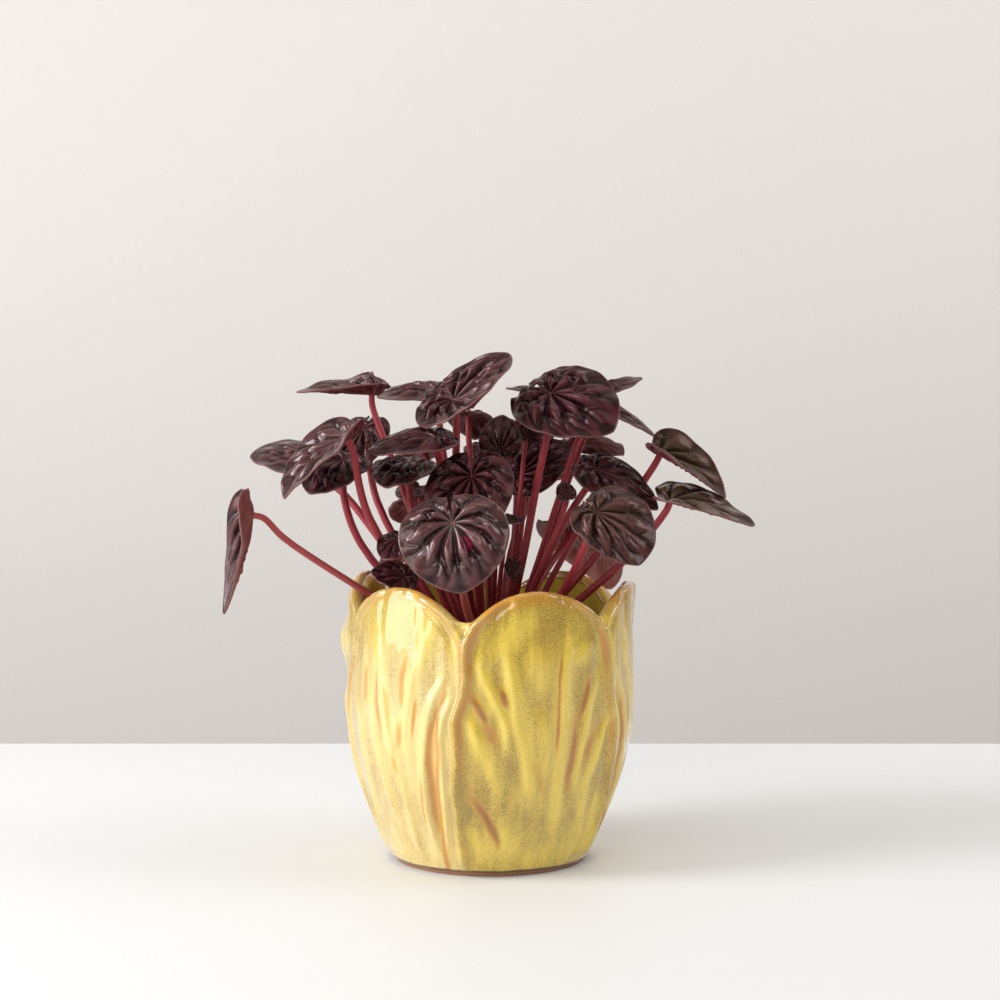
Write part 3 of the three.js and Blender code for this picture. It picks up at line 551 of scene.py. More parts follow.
# Leaves: the same forms as the solids, with veins, pillows and cross wrinkles
# turns run from 0 at the tip to 1 behind the hub, pillows and margins from 0 at the hub to 1 at the margin
blade = {
    "columns": 148,
    "rings": 34,
    "smallColumns": 88,
    "smallRings": 16,
    "smallHalf": 10,
    "spread": 173.5,
    "thickness": 0.75,
    "roundBehind": 0.75,
    "roundAhead": 0.18,
    "aheadCurve": 2.5,
    "lobeTurns": (0.4, 0.95),
    "pointTurn": 0.09,
    "pointCurve": 1.3,
    "widestAt": 80,
    "lobesBend": (-0.25, 0.35),
    "foldRound": 0.12,
    "foldLeast": 0.05,
    "puffHalves": 1.5,
    "veins": (0, 34, 70, 108, 148, 196),
    "veinArch": 20,
    "veinSway": 22,
    "veinDepth": 0.025,
    "lastField": 0.75,
    "pillowHeight": 0.14,
    "pillowCurve": (0.9, 0.55),
    "pillowOpens": (0.1, 0.5),
    "pillowFull": 0.42,
    "pillowUneven": 0.5,
    "lobePillows": 0.6,
    "lobeDegrees": (110, 170),
    "crossWrinkles": 3.0,
    "crossSlant": 0.8,
    "crossShift": (1.4, 0.3),
    "crossUneven": 0.5,
    "crossFrom": (0.25, 0.6),
    "crossDeepest": 0.9,
    "marginFrom": (0.58, 0.95),
    "marginSwell": 0.03,
    "marginWave": 0.06,
    "tornLeaf": "leaf_front",
    "tearAhead": (9.4, 2.9),
    "tearAside": (4.2, 2.0),
    "colours": {
        # each pair runs from a crease, darkened partly as painted shade, to a pillow
        "wine": ((0.005, 0.0006, 0.001), (0.064, 0.013, 0.018)),
        "brown": ((0.006, 0.0012, 0.001), (0.054, 0.017, 0.015)),
        "light": ((0.012, 0.003, 0.003), (0.098, 0.032, 0.034)),
        "olive": ((0.030, 0.020, 0.009), (0.085, 0.062, 0.033)),
        # paleHub: painted sheen around the hub
        "paleHub": (0.12, 0.12, 0.09),
        "hub": (0.42, 0.05, 0.03),
        "edge": (0.26, 0.14, 0.13),
        "tear": ((0.03, 0.001, 0.006), (0.26, 0.004, 0.05)),
        "under": ((0.060, 0.010, 0.012), (0.17, 0.030, 0.034)),
        "underPink": (0.37, 0.13, 0.115),
        "underVein": (0.22, 0.06, 0.06),
        "underHub": (0.32, 0.10, 0.09),
        "underOlive": ((0.13, 0.012, 0.03), (0.34, 0.05, 0.085)),
        "margin": ((0.07, 0.016, 0.018), (0.25, 0.11, 0.10)),
    },
}
# every leaf: where its stalk meets the blade, the blade's tip, the way its upper side looks, half its width, what its
# stalk passes (all in mm), and what differs from usualLeaf: back is how far the lobes reach and point how drawn out
# the tip is, as parts of the length; fold, lobes and curl lift its sides, the left one last, and droop and rear bend
# its midrib, in degrees; light (how lit the leaf is painted), olive, pink, hubPale (its hub, with painted sheen),
# salmon (its stalk) and bumpy run from 0 to 1
usualLeaf = {"back": 0.58, "point": 0.08, "skew": 0, "fold": 0, "lobes": 0, "curl": 0, "droop": 20, "olive": 0,
             "pink": 0, "salmon": 0, "light": 0, "hubPale": 0, "bumpy": 0.5}
leafFacts = {
    # left
    "leaf_far_left": ((-92, -29, 139), (-103, -32, 101), (-0.93, -0.34, -0.28), 11,
        [(-44, -14, 104.5), (-80, -26, 130)], {"back": 0.4, "point": 0.2, "fold": (30, 40), "lobes": 35, "droop": -24,
        "rear": -110, "light": 0.6, "pink": 0.5, "salmon": 0.25, "bumpy": 0.15}),
    "leaf_top_left": ((-47.5, 5, 186), (-77, -2, 186.5), (0, -0.24, 0.97), 11, [(-38, 3, 156)], {"back": 0.4,
        "point": 0.16, "fold": (30, 22), "lobes": (24, 50), "droop": 6, "rear": -240, "light": 0.8}),
    "leaf_left": ((-55, -30, 168.8), (-78.5, -42, 146.2), (-0.6, -0.42, 0.68), 15, [(-47, -24, 138)], {"back": 0.1,
        "point": 0.14, "skew": -0.05, "fold": (14, 18), "lobes": (24, 10), "curl": (8, 0), "droop": 14,
        "light": 0.8}),
    "leaf_left_back": ((-72, 37, 158), (-100, 33, 160), (-0.1, -0.5, 0.86), 15, [(-44, 23, 124), (-60, 31, 143.5)],
        {"light": 0.8}),
    "leaf_left_under": ((-58, -10, 159.5), (-70, -25, 147), (-0.2, -0.6, 0.75), 13.5, [(-51, -8, 126), (-58, -8, 146)],
        {"back": 0.4}),
    "leaf_left_inner": ((-52, 20, 171), (-58, 8, 152.5), (-0.3, -0.66, 0.68), 13, [(-46, 15, 142)], {"back": 0.5}),
    # top
    "leaf_top_back_left": ((-22, 30, 187.5), (-47, 28, 185), (0.05, -0.3, 0.95), 12, [(-16, 20, 140)],
        {"droop": 14, "light": 0.5}),
    "leaf_top_centre": ((-14.5, -10, 183.5), (-7.5, -34, 181.5), (-0.3, -0.55, 0.78), 29, [(-13, -6, 140)],
        {"skew": 0.24, "fold": (20, 4), "droop": -55, "light": 0.35, "hubPale": 0.25, "bumpy": 0.65}),
    "leaf_upper_middle": ((-21, -20, 168.8), (-47, -26, 163.5), (-0.1, -0.36, 0.92), 13,
        [(-14, -8, 125), (-18, -12, 152)], {"back": 0.36, "droop": 14}),
    "leaf_middle_left": ((-32, -8, 158.5), (-40, -28, 150), (-0.1, -0.55, 0.8), 13, [(-31, -7, 141)], {}),
    "leaf_top_right": ((24, -10, 186), (48, -28, 171.5), (-0.05, -0.72, 0.66), 20, [(13, -7, 120), (18, -9, 147)],
        {"droop": 22, "bumpy": 0.7}),
    "leaf_top_behind": ((22.5, 28, 186.5), (7, 15, 188), (0, -0.1, 0.97), 10, [(12, 24, 130), (19, 31, 160)],
        {"droop": 10}),
    "leaf_top_right_point": ((44, 14, 187), (62, 17, 192.6), (-0.2, -0.3, 0.93), 9, [(28, 6, 140), (38, 9, 168)],
        {"back": 0.34, "point": 0.16, "droop": 10}),
    "leaf_right_point": ((46, 1, 179), (66.5, 5, 169), (0.4, -0.25, 0.85), 9,
        [(18, 0, 115), (27, -2, 143), (37, -2, 171)], {"back": 0.34, "point": 0.16, "fold": 15, "droop": 10,
        "olive": 0.2}),
    # middle
    "leaf_centre_young": ((4, -2, 163), (5, 8, 177.5), (0, -0.8, 0.5), 9, [(2, 0, 120)],
        {"back": 0.34, "fold": 12, "droop": -10}),
    "leaf_centre_small": ((15.5, 4.6, 168.8), (19, 7, 177), (0.3, -0.8, 0.4), 5, [(10, 3, 125)],
        {"back": 0.34, "droop": 12}),
    "leaf_centre_dark": ((12, 15, 153), (32.5, 22, 165.5), (-0.2, -0.8, 0.55), 13, [(10, 12, 115), (13, 19, 138)],
        {"back": 0.4, "droop": 12}),
    "leaf_inner_back": ((-8.7, 18, 177), (-6.5, 40, 167), (0.1, 0.4, 0.9), 10, [(-6, 12, 130)], {"droop": 16}),
    "leaf_behind_centre": ((-2.5, 34, 164), (-2, 54, 155), (0, 0.45, 0.9), 9, [(-1, 20, 125)], {"droop": 16}),
    "leaf_right_back": ((35, 31, 166), (56, 43, 160.5), (0.2, 0.42, 0.88), 12, [(24, 21, 125)],
        {"back": 0.4, "droop": 16, "pink": 0.3}),
    "leaf_left_low_back": ((-28, 26, 143), (-38, 44, 132), (-0.3, 0.5, 0.8), 12, [(-18, 15, 115)],
        {"back": 0.4, "droop": 16, "pink": 1}),
    "leaf_middle_low": ((-29, 16, 147.5), (-37, 8, 144), (-0.1, -0.4, 0.9), 8, [(-22, 10, 120)],
        {"back": 0.4, "droop": 14}),
    # right
    "leaf_right_high": ((68, -2, 162), (93.8, -8, 145), (0.51, -0.44, 0.74), 13.6,
        [(28, 0, 104), (46, 3, 125), (60, 3, 148)], {"back": 0.06, "point": 0.16, "fold": (34, 30), "lobes": (30, 10),
        "droop": 10, "olive": 1, "bumpy": 0.2}),
    "leaf_right_low": ((71, -15, 144), (104, -18, 134.5), (0.24, -0.4, 0.9), 14, [(35, -11, 104), (54, -13, 121)],
        {"back": 0.15, "point": 0.2, "fold": (14, 27), "droop": 4, "light": 0.5, "olive": 0.8, "bumpy": 0.2}),
    "leaf_right_middle": ((42, -5, 156), (66, -14, 140), (0.35, -0.65, 0.67), 13, [(18, -4, 110), (31, -5, 137)],
        {"back": 0.3, "point": 0.14, "droop": 14}),
    "leaf_right_inner_back": ((48.5, 25, 152), (52, 43, 144), (0.2, 0.45, 0.87), 10, [(30, 14, 120)],
        {"back": 0.4, "droop": 14}),
    "leaf_right_front": ((41, -38, 140.5), (57, -46, 121), (0.25, -0.75, 0.6), 20.5, [(28, -23, 108), (37, -34, 128)],
        {"back": 0.36, "skew": 0.2, "light": 0.3, "olive": 0.35, "bumpy": 0.45}),
    "leaf_right_small": ((30.5, -18, 146), (28, -13, 151), (0, -0.8, 0.5), 4, [(19, -11, 115)],
        {"back": 0.34, "droop": 12}),
    "leaf_back_right_low": ((33.5, 44, 128), (52, 64, 102), (0.4, 0.55, 0.6), 17, [(20, 26, 108)],
        {"back": 0.4, "droop": 24, "pink": 0.7}),
    # front
    "leaf_front": ((-14, -45, 137), (-10.5, -51, 110.5), (-0.05, -0.9, 0.25), 21.5, [(-10, -34, 108)], {"droop": 24,
        "light": 1, "salmon": 1, "hubPale": 1, "bumpy": 0.5}),
    "leaf_front_behind": ((-7, -25, 154), (-4.5, -34, 130), (-0.3, -0.82, 0.42), 17, [(-5, -18, 115)],
        {"skew": -0.08, "droop": 14}),
    "leaf_front_small": ((-35, -32, 129.5), (-41, -37, 122.5), (-0.4, -0.8, 0.45), 8, [(-15, -27, 112)],
        {"droop": 12}),
    "leaf_front_rim": ((-33, -27, 115), (-46, -29, 117), (-0.15, -0.6, 0.75), 8, [(-22, -16, 97)], {"droop": 12}),
    "leaf_front_tiny": ((7, -15, 137), (13.5, -14, 136), (0, -0.4, 0.9), 4, [(4, -9, 112)], {"droop": 12}),
    "leaf_low_tiny": ((9, -19, 119), (10, -23, 113), (0.1, -0.8, 0.4), 3.5, [(6, -14, 103)], {"droop": 12}),
    # back, seen only from behind
    "leaf_back_high": ((12, 48, 172), (17, 71, 158), (0.1, 0.5, 0.85), 14, [(10, 26, 125)], {}),
    "leaf_back_left": ((-28, 46, 162), (-44, 64, 150), (-0.4, 0.35, 0.85), 14, [(-8, 32, 128)], {}),
    "leaf_back_right": ((38, 52, 157), (54, 70, 144), (0.4, 0.4, 0.85), 14, [(10, 34, 125), (22, 46, 148)], {}),
    "leaf_back_low": ((-11, 58, 134), (-16, 80, 115), (-0.1, 0.6, 0.75), 14, [(-6, 30, 112)], {}),
    "leaf_back_low_left": ((-32, 46, 126), (-46, 62, 108), (-0.5, 0.4, 0.7), 12, [(-18, 25, 106)], {}),
}


def sided(value, y):
    # a value that may be given for each side of the midrib
    return value[y < 0] if isinstance(value, tuple) else value


class Leaf:
    def __init__(self, index, hub, tip, face, half, via, facts):
        self.seed = index * 7.31
        self.hub = Vector(hub)
        self.half = half
        self.via = via
        for key, value in {**usualLeaf, **facts}.items():
            setattr(self, key, value)
        ahead = Vector(tip) - self.hub
        reach = ahead.length
        ahead.normalize()
        up = Vector(face)
        up = (up - ahead * up.dot(ahead)).normalized()
        self.side = up.cross(ahead)
        bend = radians(self.droop)
        self.length = reach * bend / 2 / sin(bend / 2)
        self.start = ahead * cos(bend / 2) + up * sin(bend / 2)
        self.startUp = up * cos(bend / 2) - ahead * sin(bend / 2)
        self.turning = bend / self.length
        self.rearTurning = radians(facts.get("rear", self.droop)) / self.length
        self.widen = self.half / (self.outline(blade["widestAt"]) * self.length)
        self.puff = min(self.length, blade["puffHalves"] * self.half)

    def outline(self, degrees):
        # how far the margin is from the hub, as a part of the length
        turn = abs(degrees) / 180
        ahead = (0.5 + 0.5 * cos(pi * turn)) ** blade["aheadCurve"]
        whole = blade["roundBehind"] + blade["roundAhead"] * ahead
        lobes = 1 - (1 - self.back) * smooth(*blade["lobeTurns"], turn)
        skew = 1 + self.skew * sin(radians(degrees))
        drawnOut = self.point * exp(-(turn / blade["pointTurn"]) ** blade["pointCurve"])
        return (whole * lobes * skew + drawnOut) / (blade["roundBehind"] + blade["roundAhead"] + self.point)

    def place(self, x, y):
        # a point of the smooth middle form, x mm along the midrib and y mm to one side
        across = abs(y)
        rear, front = blade["lobesBend"]
        behind = 1 - smooth(rear * self.length, front * self.length, x)
        fold = radians(sided(self.fold, y) + sided(self.lobes, y) * behind)
        curl = radians(sided(self.curl, y))
        opened = across * across / (across + blade["foldRound"] * self.half)
        lift = sin(fold) * opened + tan(curl) * across * across / (2 * self.half)
        flat = sqrt(max(across * across - lift * lift, blade["foldLeast"] * across * across))
        turning = self.rearTurning if x < 0 else self.turning
        turn = turning * x
        return (self.hub + self.start * (sin(turn) / turning + sin(turn) * lift)
                + self.startUp * (-(1 - cos(turn)) / turning + cos(turn) * lift)
                + self.side * copysign(flat, y))

    def wrinkle(self, degrees, reach):
        # height in mm above the smooth form, and where it is on a pillow, from 0 in a vein to 1
        side = 1 if degrees > 0 else -1
        sway = blade["veinSway"] * uneven(degrees * 0.014, reach * 1.8, self.seed)
        turn = abs(degrees + sway * reach)
        turn += blade["veinArch"] * sin(radians(turn)) * reach
        # the field between two veins
        field = 0
        last = len(blade["veins"]) - 2
        while field < last and turn > blade["veins"][field + 1]:
            field += 1
        low, high = blade["veins"][field], blade["veins"][field + 1]
        part = min(max((turn - low) / (high - low), 0), 1)
        if field == last:
            part *= blade["lastField"]
        nearest = min(part, 1 - part)
        pillow = sin(pi * part) ** mixed(*blade["pillowCurve"], smooth(*blade["pillowOpens"], reach))
        # wrinkles across the field
        own = Vector((field * side * 3.1 + self.seed, 1.7, 0.3))
        shift, ripple = blade["crossShift"]
        phase = shift * noise.noise(own) + ripple * uneven(degrees * 0.02, reach * 1.6, self.seed + 5)
        position = blade["crossWrinkles"] * (reach - blade["crossSlant"] * nearest * reach) + phase
        crease = 0.5 + 0.5 * cos(2 * pi * position)
        bumpy = self.bumpy + blade["crossUneven"] * uneven(degrees * 0.03, reach * 1.5, self.seed + 9)
        depth = smooth(*blade["crossFrom"], reach) * max(bumpy, 0)
        pillow *= 1 - min(depth, blade["crossDeepest"]) * crease ** 2
        # lower near the hub, the margin and the lobes
        swell = min(reach / blade["pillowFull"], 1)
        swell *= mixed(1, blade["marginSwell"], smooth(*blade["marginFrom"], reach))
        swell *= mixed(1, blade["lobePillows"], smooth(*blade["lobeDegrees"], abs(degrees)))
        swell *= 1 + blade["pillowUneven"] * noise.noise(own * 1.7)
        height = (blade["pillowHeight"] * pillow - blade["veinDepth"]) * swell
        height += blade["marginWave"] * uneven(degrees * 0.05, 0, self.seed + 21) * reach ** 4
        return height * self.puff, pillow


def makeBlade(name, leaf):
    small = leaf.half <= blade["smallHalf"]
    columns = blade["smallColumns"] if small else blade["columns"]
    rings = blade["smallRings"] if small else blade["rings"]
    bm = bmesh.new()
    kinds = ("pillow", "reach", "tone", "light", "olive", "pink", "hubPale", "tear")
    layers = [bm.verts.layers.float.new(kind) for kind in kinds]
    bmesh.ops.create_grid(bm, x_segments=columns, y_segments=rings, size=1)
    tone = 0.5 + 0.5 * sin(leaf.seed * 2.3)
    heights = {}
    for vert in bm.verts:
        degrees = vert.co.x * blade["spread"]
        reach = (vert.co.y + 1) / 2
        distance = leaf.outline(degrees) * reach * leaf.length
        x = distance * cos(radians(degrees))
        y = distance * sin(radians(degrees)) * leaf.widen
        vert.co = leaf.place(x, y)
        heights[vert], pillow = leaf.wrinkle(degrees, reach)
        torn = band(x, blade["tearAhead"]) * band(y, blade["tearAside"]) if name == blade["tornLeaf"] else 0
        values = (pillow, reach, tone, leaf.light, leaf.olive, leaf.pink, leaf.hubPale, torn)
        for layer, value in zip(layers, values):
            vert[layer] = value
    bm.normal_update()
    middle = sum((face.normal for face in bm.faces), Vector())
    if middle.dot(leaf.startUp) < 0:
        bmesh.ops.reverse_faces(bm, faces=bm.faces)
        bm.normal_update()
    for vert, height in heights.items():
        vert.co += vert.normal * height
    bmesh.ops.remove_doubles(bm, verts=bm.verts, dist=weld / mm)
    bmesh.ops.transform(bm, matrix=Matrix.Scale(mm, 4), verts=bm.verts)
    piece = finishPiece("blade" + name[5:].title().replace("_", ""), bm, bladeFinishes, name)
    shell = piece.modifiers.new("thickness", "SOLIDIFY")
    shell.thickness = blade["thickness"] * mm
    shell.offset = -1
    shell.material_offset = 1
    shell.material_offset_rim = 2


def upperFinish():
    upper = Finish("burgundy leaf", IOR=1.36, Specular_Tint=(1, 0.45, 0.5, 1), Coat_Roughness=0.2)
    colours = blade["colours"]
    place = upper.place()
    kinds = ("pillow", "reach", "tone", "light", "olive", "hubPale", "tear")
    pillow, reach, tone, light, olive, hubPale, tear = (upper.attribute(kind) for kind in kinds)
    mottle = upper.noise(place, 260, 3, 0.6)
    grain = upper.noise(place, 1500, 3, 0.65)
    # darker creases and lighter pillows: partly the leaf's own colour, partly painted shade in the creases
    raised = upper.step(pillow * 0.85 + mottle * 0.35, 0.4, 1.15)
    colour = upper.mix(raised, *colours["wine"])
    colour = upper.mix(tone * 0.5, colour, upper.mix(raised, *colours["brown"]))
    # painted light and shade: leaves that are lit are painted lighter, leaves in shade darker
    colour = upper.mix(light, colour, upper.mix(raised, *colours["light"]))
    greenish = upper.mix(raised, *colours["olive"])
    colour = upper.mix(olive * (1.15 - upper.step(reach, 0.1, 1.1) * 0.75), colour, greenish)
    # pale grey painted sheen around the hub
    colour = upper.mix((1 - upper.step(reach, 0.0, 0.26)) * hubPale * 0.55, colour, colours["paleHub"])
    colour = upper.mix((1 - upper.step(reach, 0.01, 0.045)) * (0.2 + hubPale * 0.7), colour, colours["hub"])
    colour = upper.mix(upper.step(reach, 0.97, 1.0) * (0.25 + hubPale * 0.3), colour, colours["edge"])
    torn = upper.mix(upper.step(mottle, 0.4, 0.65), *colours["tear"])
    colour = upper.mix(upper.step(tear + grain * 0.3, 0.42, 0.55), colour, torn)
    upper.colour(colour)
    upper.rough(0.2 + mottle * 0.14)
    upper.coat(0.12 + upper.step(light, 0, 1) * 0.75)
    upper.relief(grain * 0.7 + mottle * 0.6, 0.0004, 0.5)
    return upper.material


def underFinish():
    under = Finish("wine red underside", IOR=1.42, Specular_Tint=(1, 0.7, 0.7, 1))
    colours = blade["colours"]
    place = under.place()
    pillow, reach, olive, pink = (under.attribute(kind) for kind in ("pillow", "reach", "olive", "pink"))
    mottle = under.noise(place, 240, 3, 0.6)
    grain = under.noise(place, 1300, 2, 0.6)
    colour = under.mix(mottle, *colours["under"])
    colour = under.mix(pink * 0.6, colour, colours["underPink"])
    colour = under.mix((1 - under.step(pillow, 0.1, 0.5)) * 0.4, colour, colours["underVein"])
    colour = under.mix((1 - under.step(reach, 0.05, 0.3)) * 0.3, colour, colours["underHub"])
    colour = under.mix(olive * 0.5, colour, under.mix(mottle, *colours["underOlive"]))
    under.colour(colour)
    under.rough(0.38 + mottle * 0.12)
    under.relief(grain * 0.6 + mottle * 0.5, 0.0004, 0.4)
    return under.material


def marginFinish():
    margin = Finish("pale leaf margin", IOR=1.45)
    mottle = margin.noise(margin.place(), 300, 2)
    margin.colour(margin.mix(mottle, *blade["colours"]["margin"]))
    margin.rough(0.4 + mottle * 0.1)
    return margin.material


bladeFinishes = [upperFinish(), underFinish(), marginFinish()]
leafForms = {name: Leaf(index, *facts) for index, (name, facts) in enumerate(leafFacts.items())}
for name, leaf in leafForms.items():
    makeBlade(name, leaf)
print("blades made,", len(leafForms))


# Stalks and the short crown that they grow from
stalk = {
    "radius": 1.56,
    "youngPart": 0.62,
    "youngHalves": (4, 16),
    "rootPart": 1.06,
    "slimmer": 0.16,
    "flare": 1.12,
    "flareFrom": 0.93,
    "neck": 4.6,
    "neckTurn": 1.7,
    "rootHeight": 80,
    "gather": 0.3,
    "rootSpread": 10,
    "crownRadius": 12.5,
    "crownHeight": 76,
    "crownBumps": ((0.13, 2.6), (0.05, 8)),
    "samples": 7,
    "colours": {
        "red": ((0.11, 0.0045, 0.014), (0.34, 0.027, 0.040)),
        "top": (0.42, 0.055, 0.060),
        "salmon": (0.60, 0.17, 0.14),
    },
}


def route(points):
    # a centripetal curve through the points, sampled evenly between each two
    ends = [points[0] * 2 - points[1], *points, points[-1] * 2 - points[-2]]
    samples = []
    for a, b, c, d in zip(ends, ends[1:], ends[2:], ends[3:]):
        t1 = (b - a).length ** 0.5
        t2 = t1 + (c - b).length ** 0.5
        t3 = t2 + (d - c).length ** 0.5
        for step in range(stalk["samples"]):
            t = mixed(t1, t2, step / stalk["samples"])
            ab = mixed(a, b, t / t1)
            bc = mixed(b, c, (t - t1) / (t2 - t1))
            cd = mixed(c, d, (t - t2) / (t3 - t2))
            abc = mixed(ab, bc, t / t2)
            bcd = mixed(bc, cd, (t - t1) / (t3 - t1))
            samples.append(mixed(abc, bcd, (t - t1) / (t2 - t1)))
    return [*samples, points[-1]]


def stalkMesh(leaf):
    across = leaf.place(0, 0.5) - leaf.place(0, -0.5)
    ahead = leaf.place(0.5, 0) - leaf.place(-0.5, 0)
    normal = ahead.cross(across).normalized()
    first = Vector(leaf.via[0])
    away = min(first.xy.length * stalk["gather"], stalk["rootSpread"])
    root = Vector((*(first.xy.normalized() * away), stalk["rootHeight"]))
    end = leaf.hub - normal * blade["thickness"] * 0.5
    neck = (Vector(leaf.via[-1]) - end).normalized() - normal * stalk["neckTurn"]
    points = route([root, *(Vector(point) for point in leaf.via), end + neck.normalized() * stalk["neck"], end])
    curve = bpy.data.curves.new("stalkRoute", "CURVE")
    curve.dimensions = "3D"
    curve.bevel_depth = mm
    curve.bevel_resolution = 4
    curve.use_fill_caps = True
    spline = curve.splines.new("POLY")
    spline.points.add(len(points) - 1)
    thick = stalk["radius"] * mixed(stalk["youngPart"], 1, smooth(*stalk["youngHalves"], leaf.half))
    for index, (point, target) in enumerate(zip(points, spline.points)):
        part = index / (len(points) - 1)
        target.co = (*(point * mm), 1)
        flare = (stalk["flare"] - 1) * smooth(stalk["flareFrom"], 1, part)
        target.radius = thick * (stalk["rootPart"] - stalk["slimmer"] * part + flare)
    routeObject = bpy.data.objects.new("stalkRoute", curve)
    mesh = bpy.data.meshes.new_from_object(routeObject)
    bpy.data.objects.remove(routeObject)
    return mesh


def makeStalks():
    bm = bmesh.new()
    salmonLayer = bm.verts.layers.float.new("salmon")
    alongLayer = bm.verts.layers.float.new("along")
    crownMiddle = Vector((0, 0, stalk["crownHeight"]))
    for vert in bmesh.ops.create_icosphere(bm, subdivisions=5, radius=1)["verts"]:
        swell = sum((rise * noise.noise(vert.co * size) for rise, size in stalk["crownBumps"]), 1)
        vert.co = (vert.co * swell * stalk["crownRadius"] + crownMiddle) * mm
    done = len(bm.verts)
    for leaf in leafForms.values():
        bm.from_mesh(stalkMesh(leaf))
        bm.verts.ensure_lookup_table()
        for vert in bm.verts[done:]:
            vert[salmonLayer] = leaf.salmon
            vert[alongLayer] = smooth(stalk["rootHeight"] * mm, leaf.hub.z * mm, vert.co.z)
        done = len(bm.verts)
    return bm


def stalkFinish():
    red = Finish("wine red stalk", IOR=1.42, Specular_Tint=(1, 0.65, 0.66, 1), Coat_Weight=0.12, Coat_Roughness=0.25)
    place = red.place()
    colours = stalk["colours"]
    salmon, height = red.attribute("salmon"), red.attribute("along")
    lines = red.noise(red.stretched(place, (1, 1, 0.06)), 1500, 2, 0.6)
    mottle = red.noise(place, 330, 3, 0.6)
    colour = red.mix(lines * 0.6 + mottle * 0.5, *colours["red"])
    # redder and lighter towards the top; the darker lower stalks are painted shade deep in the plant
    colour = red.mix(height * 0.4, colour, colours["top"])
    colour = red.mix(salmon * 0.85, colour, colours["salmon"])
    red.colour(colour)
    red.rough(0.34 + mottle * 0.16)
    red.relief(lines * 0.8 + mottle * 0.3, 0.0003, 0.5)
    return red.material


finishPiece("leafStalks", makeStalks(), [stalkFinish()], "leaf_stalks")
print("stalks made")


# Soil, with loose crumbs on it
soil = {
    "top": 79,
    "gap": 0.3,
    "overFloor": 0.5,
    "sideHeights": (16, 26, 36, 46, 56, 66, 74),
    "bumps": 1.5,
    "clods": ((0.7, 110), (0.5, 330)),
    "rings": 34,
    "turns": 120,
    "crumbs": 300,
    "crumbSize": (0.5, 1.5),
    "crumbSpread": (0.05, 0.92),
    "crumbWidth": (0.7, 1.3),
    "crumbHeight": (0.6, 1),
    "crumbLift": 0.3,
    "colour": ((0.012, 0.008, 0.006), (0.055, 0.034, 0.022)),
}


def makeSoil():
    bm = bmesh.new()
    bottom = pot["floor"] + soil["overFloor"]
    side = [(bodyRadius(height) - pot["wall"] - soil["gap"], height)
            for height in (bottom, *soil["sideHeights"], soil["top"])]
    rim = side[-1][0]
    top = [(rim * (1 - ring / soil["rings"]), soil["top"]) for ring in range(1, soil["rings"] + 1)]
    line = [bm.verts.new((radius * mm, 0, height * mm)) for radius, height in [(0, bottom), *side, *top]]
    edges = [bm.edges.new(pair) for pair in zip(line, line[1:])]
    bmesh.ops.spin(bm, geom=[*line, *edges], cent=(0, 0, 0), axis=(0, 0, 1), angle=2 * pi,
                   steps=soil["turns"], use_merge=True, use_duplicate=False)
    bmesh.ops.remove_doubles(bm, verts=bm.verts, dist=weld)
    for vert in bm.verts:
        # only the surface is rough
        if vert.co.z > soil["sideHeights"][-1] * mm * 1.01:
            rough = sum(rise * noise.noise(vert.co * size) for rise, size in soil["clods"])
            vert.co.z += soil["bumps"] * mm * rough
    bmesh.ops.recalc_face_normals(bm, faces=bm.faces)
    draw = random.Random(4)
    for crumb in range(soil["crumbs"]):
        size = draw.uniform(*soil["crumbSize"]) * mm
        away = rim * mm * sqrt(draw.uniform(*soil["crumbSpread"]))
        turn = draw.uniform(0, 2 * pi)
        lift = soil["top"] * mm + size * soil["crumbLift"]
        centre = Vector((away * cos(turn), away * sin(turn), lift))
        ranges = (soil["crumbWidth"], soil["crumbWidth"], soil["crumbHeight"])
        squash = Matrix.Diagonal((*(draw.uniform(*limits) for limits in ranges), 1))
        bmesh.ops.create_icosphere(bm, subdivisions=1, radius=size, matrix=Matrix.Translation(centre) @ squash)
    return bm


def soilFinish():
    earth = Finish("dark potting soil", IOR=1.4)
    place = earth.place()
    clods = earth.noise(place, 420, 4, 0.65)
    earth.colour(earth.mix(earth.step(clods, 0.35, 0.7), *soil["colour"]))
    earth.rough(0.85 + clods * 0.1)
    earth.relief(clods, 0.001, 0.8)
    return earth.material


finishPiece("pottingSoil", makeSoil(), [soilFinish()], "soil")
print("soil made")


# Table, wall, light and camera
studio = {
    "tableBack": 0.271,
    "tableSide": 1.6,
    "tableFront": -1.4,
    "tableThick": 0.03,
    "tableEdge": 0.002,
    "tableColour": (0.735, 0.75, 0.765),
    "tableRoughness": 0.5,
    "wallBack": 0.9,
    "wallMiddle": 0.3,
    "wallSize": 2.4,
    "wallColour": (0.745, 0.72, 0.705),
    "wallRoughness": 0.85,
    "paintMottle": 0.985,
    "cameraPlace": (0.004, -0.833, 0.185),
    "cameraTilt": 2.86,
    "focalLength": 50,
    "sensorWidth": 24,
    # place, target, size, power and colour
    "lamps": {
        "leftCurtain": ((-1.20, -0.36, 0.44), (0, 0, 0.10), (1.1, 0.85), 10.7, (0.98, 0.985, 1)),
        "leftWindow": ((-1.02, -0.34, 0.84), (0, 0, 0.10), (0.42, 0.45), 9, (0.98, 0.985, 1)),
        "frontWindow": ((-0.45, -1.35, 0.85), (0, 0, 0.10), (1.1, 0.7), 7.5, (1, 0.95, 0.88)),
        "rightWindow": ((1.05, -0.33, 0.62), (0, 0, 0.10), (0.40, 0.25), 1.1, (1, 0.97, 0.93)),
        "wallWash": ((1.35, 0.3, 1.0), (0.7, 0.9, 0.1), (1.6, 0.6), 9.5, (1, 0.985, 0.97)),
        "ceiling": ((0.1, 0.1, 1.6), (0.1, 0, 0), (1.6, 1.6), 5, (1, 0.94, 0.86)),
    },
    "roomColour": (1, 0.94, 0.87, 1),
    "roomStrength": 0.27,
}


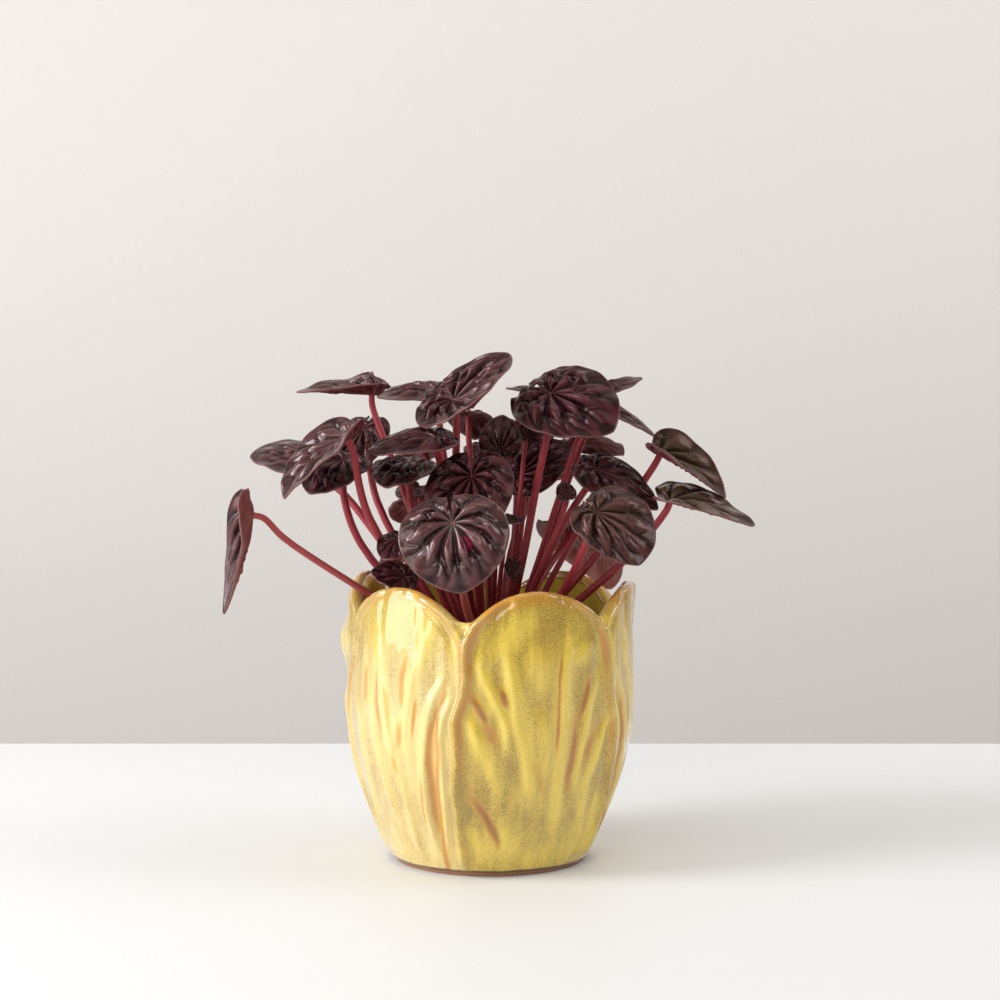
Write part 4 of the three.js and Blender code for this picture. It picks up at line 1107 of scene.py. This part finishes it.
def stagePiece(name, bm, colour, roughness):
    surface = Finish(name + " paint", IOR=1.45)
    grain = surface.noise(surface.place(), 60, 3)
    surface.colour(surface.mix(grain, colour, tuple(part * studio["paintMottle"] for part in colour)))
    surface.rough(roughness + grain * 0.05)
    meshObject(name, bm, [surface.material])


def makeStage():
    bm = bmesh.new()
    width, depth = studio["tableSide"] * 2, studio["tableBack"] - studio["tableFront"]
    middle = Vector((0, (studio["tableBack"] + studio["tableFront"]) / 2, -studio["tableThick"] / 2))
    bmesh.ops.create_cube(bm, size=1)
    bmesh.ops.scale(bm, vec=(width, depth, studio["tableThick"]), verts=bm.verts)
    bmesh.ops.translate(bm, vec=middle, verts=bm.verts)
    bmesh.ops.bevel(bm, geom=bm.edges, affect="EDGES", offset=studio["tableEdge"], segments=3, profile=0.5,
                    material=-1)
    stagePiece("tableTop", bm, studio["tableColour"], studio["tableRoughness"])
    bm = bmesh.new()
    stand = Matrix.Translation((0, studio["wallBack"], studio["wallMiddle"])) @ Matrix.Rotation(pi / 2, 4, "X")
    bmesh.ops.create_grid(bm, x_segments=2, y_segments=2, size=studio["wallSize"], matrix=stand)
    stagePiece("wall", bm, studio["wallColour"], studio["wallRoughness"])


def addLight(name, place, target, size, power, colour):
    lamp = bpy.data.lights.new(name, "AREA")
    lamp.shape = "RECTANGLE"
    lamp.size, lamp.size_y = size
    lamp.energy = power
    lamp.color = colour
    lampObject = addObject(name, lamp)
    lampObject.location = place
    lampObject.rotation_euler = (Vector(target) - Vector(place)).to_track_quat("-Z", "Y").to_euler()


def addCamera():
    lens = bpy.data.cameras.new("photoCamera")
    lens.sensor_width = studio["sensorWidth"]
    lens.lens = studio["focalLength"]
    camera = addObject("photoCamera", lens)
    camera.location = studio["cameraPlace"]
    camera.rotation_euler = (radians(90 - studio["cameraTilt"]), 0, 0)
    scene.camera = camera


def addRoomLight():
    room = bpy.data.worlds.new("room")
    room.use_nodes = True
    background = room.node_tree.nodes["Background"]
    background.inputs["Color"].default_value = studio["roomColour"]
    background.inputs["Strength"].default_value = studio["roomStrength"]
    scene.world = room
    scene.view_settings.view_transform = "Standard"


makeStage()
for lampName, lampFacts in studio["lamps"].items():
    addLight(lampName, *lampFacts)
addRoomLight()
addCamera()
print("stage set")
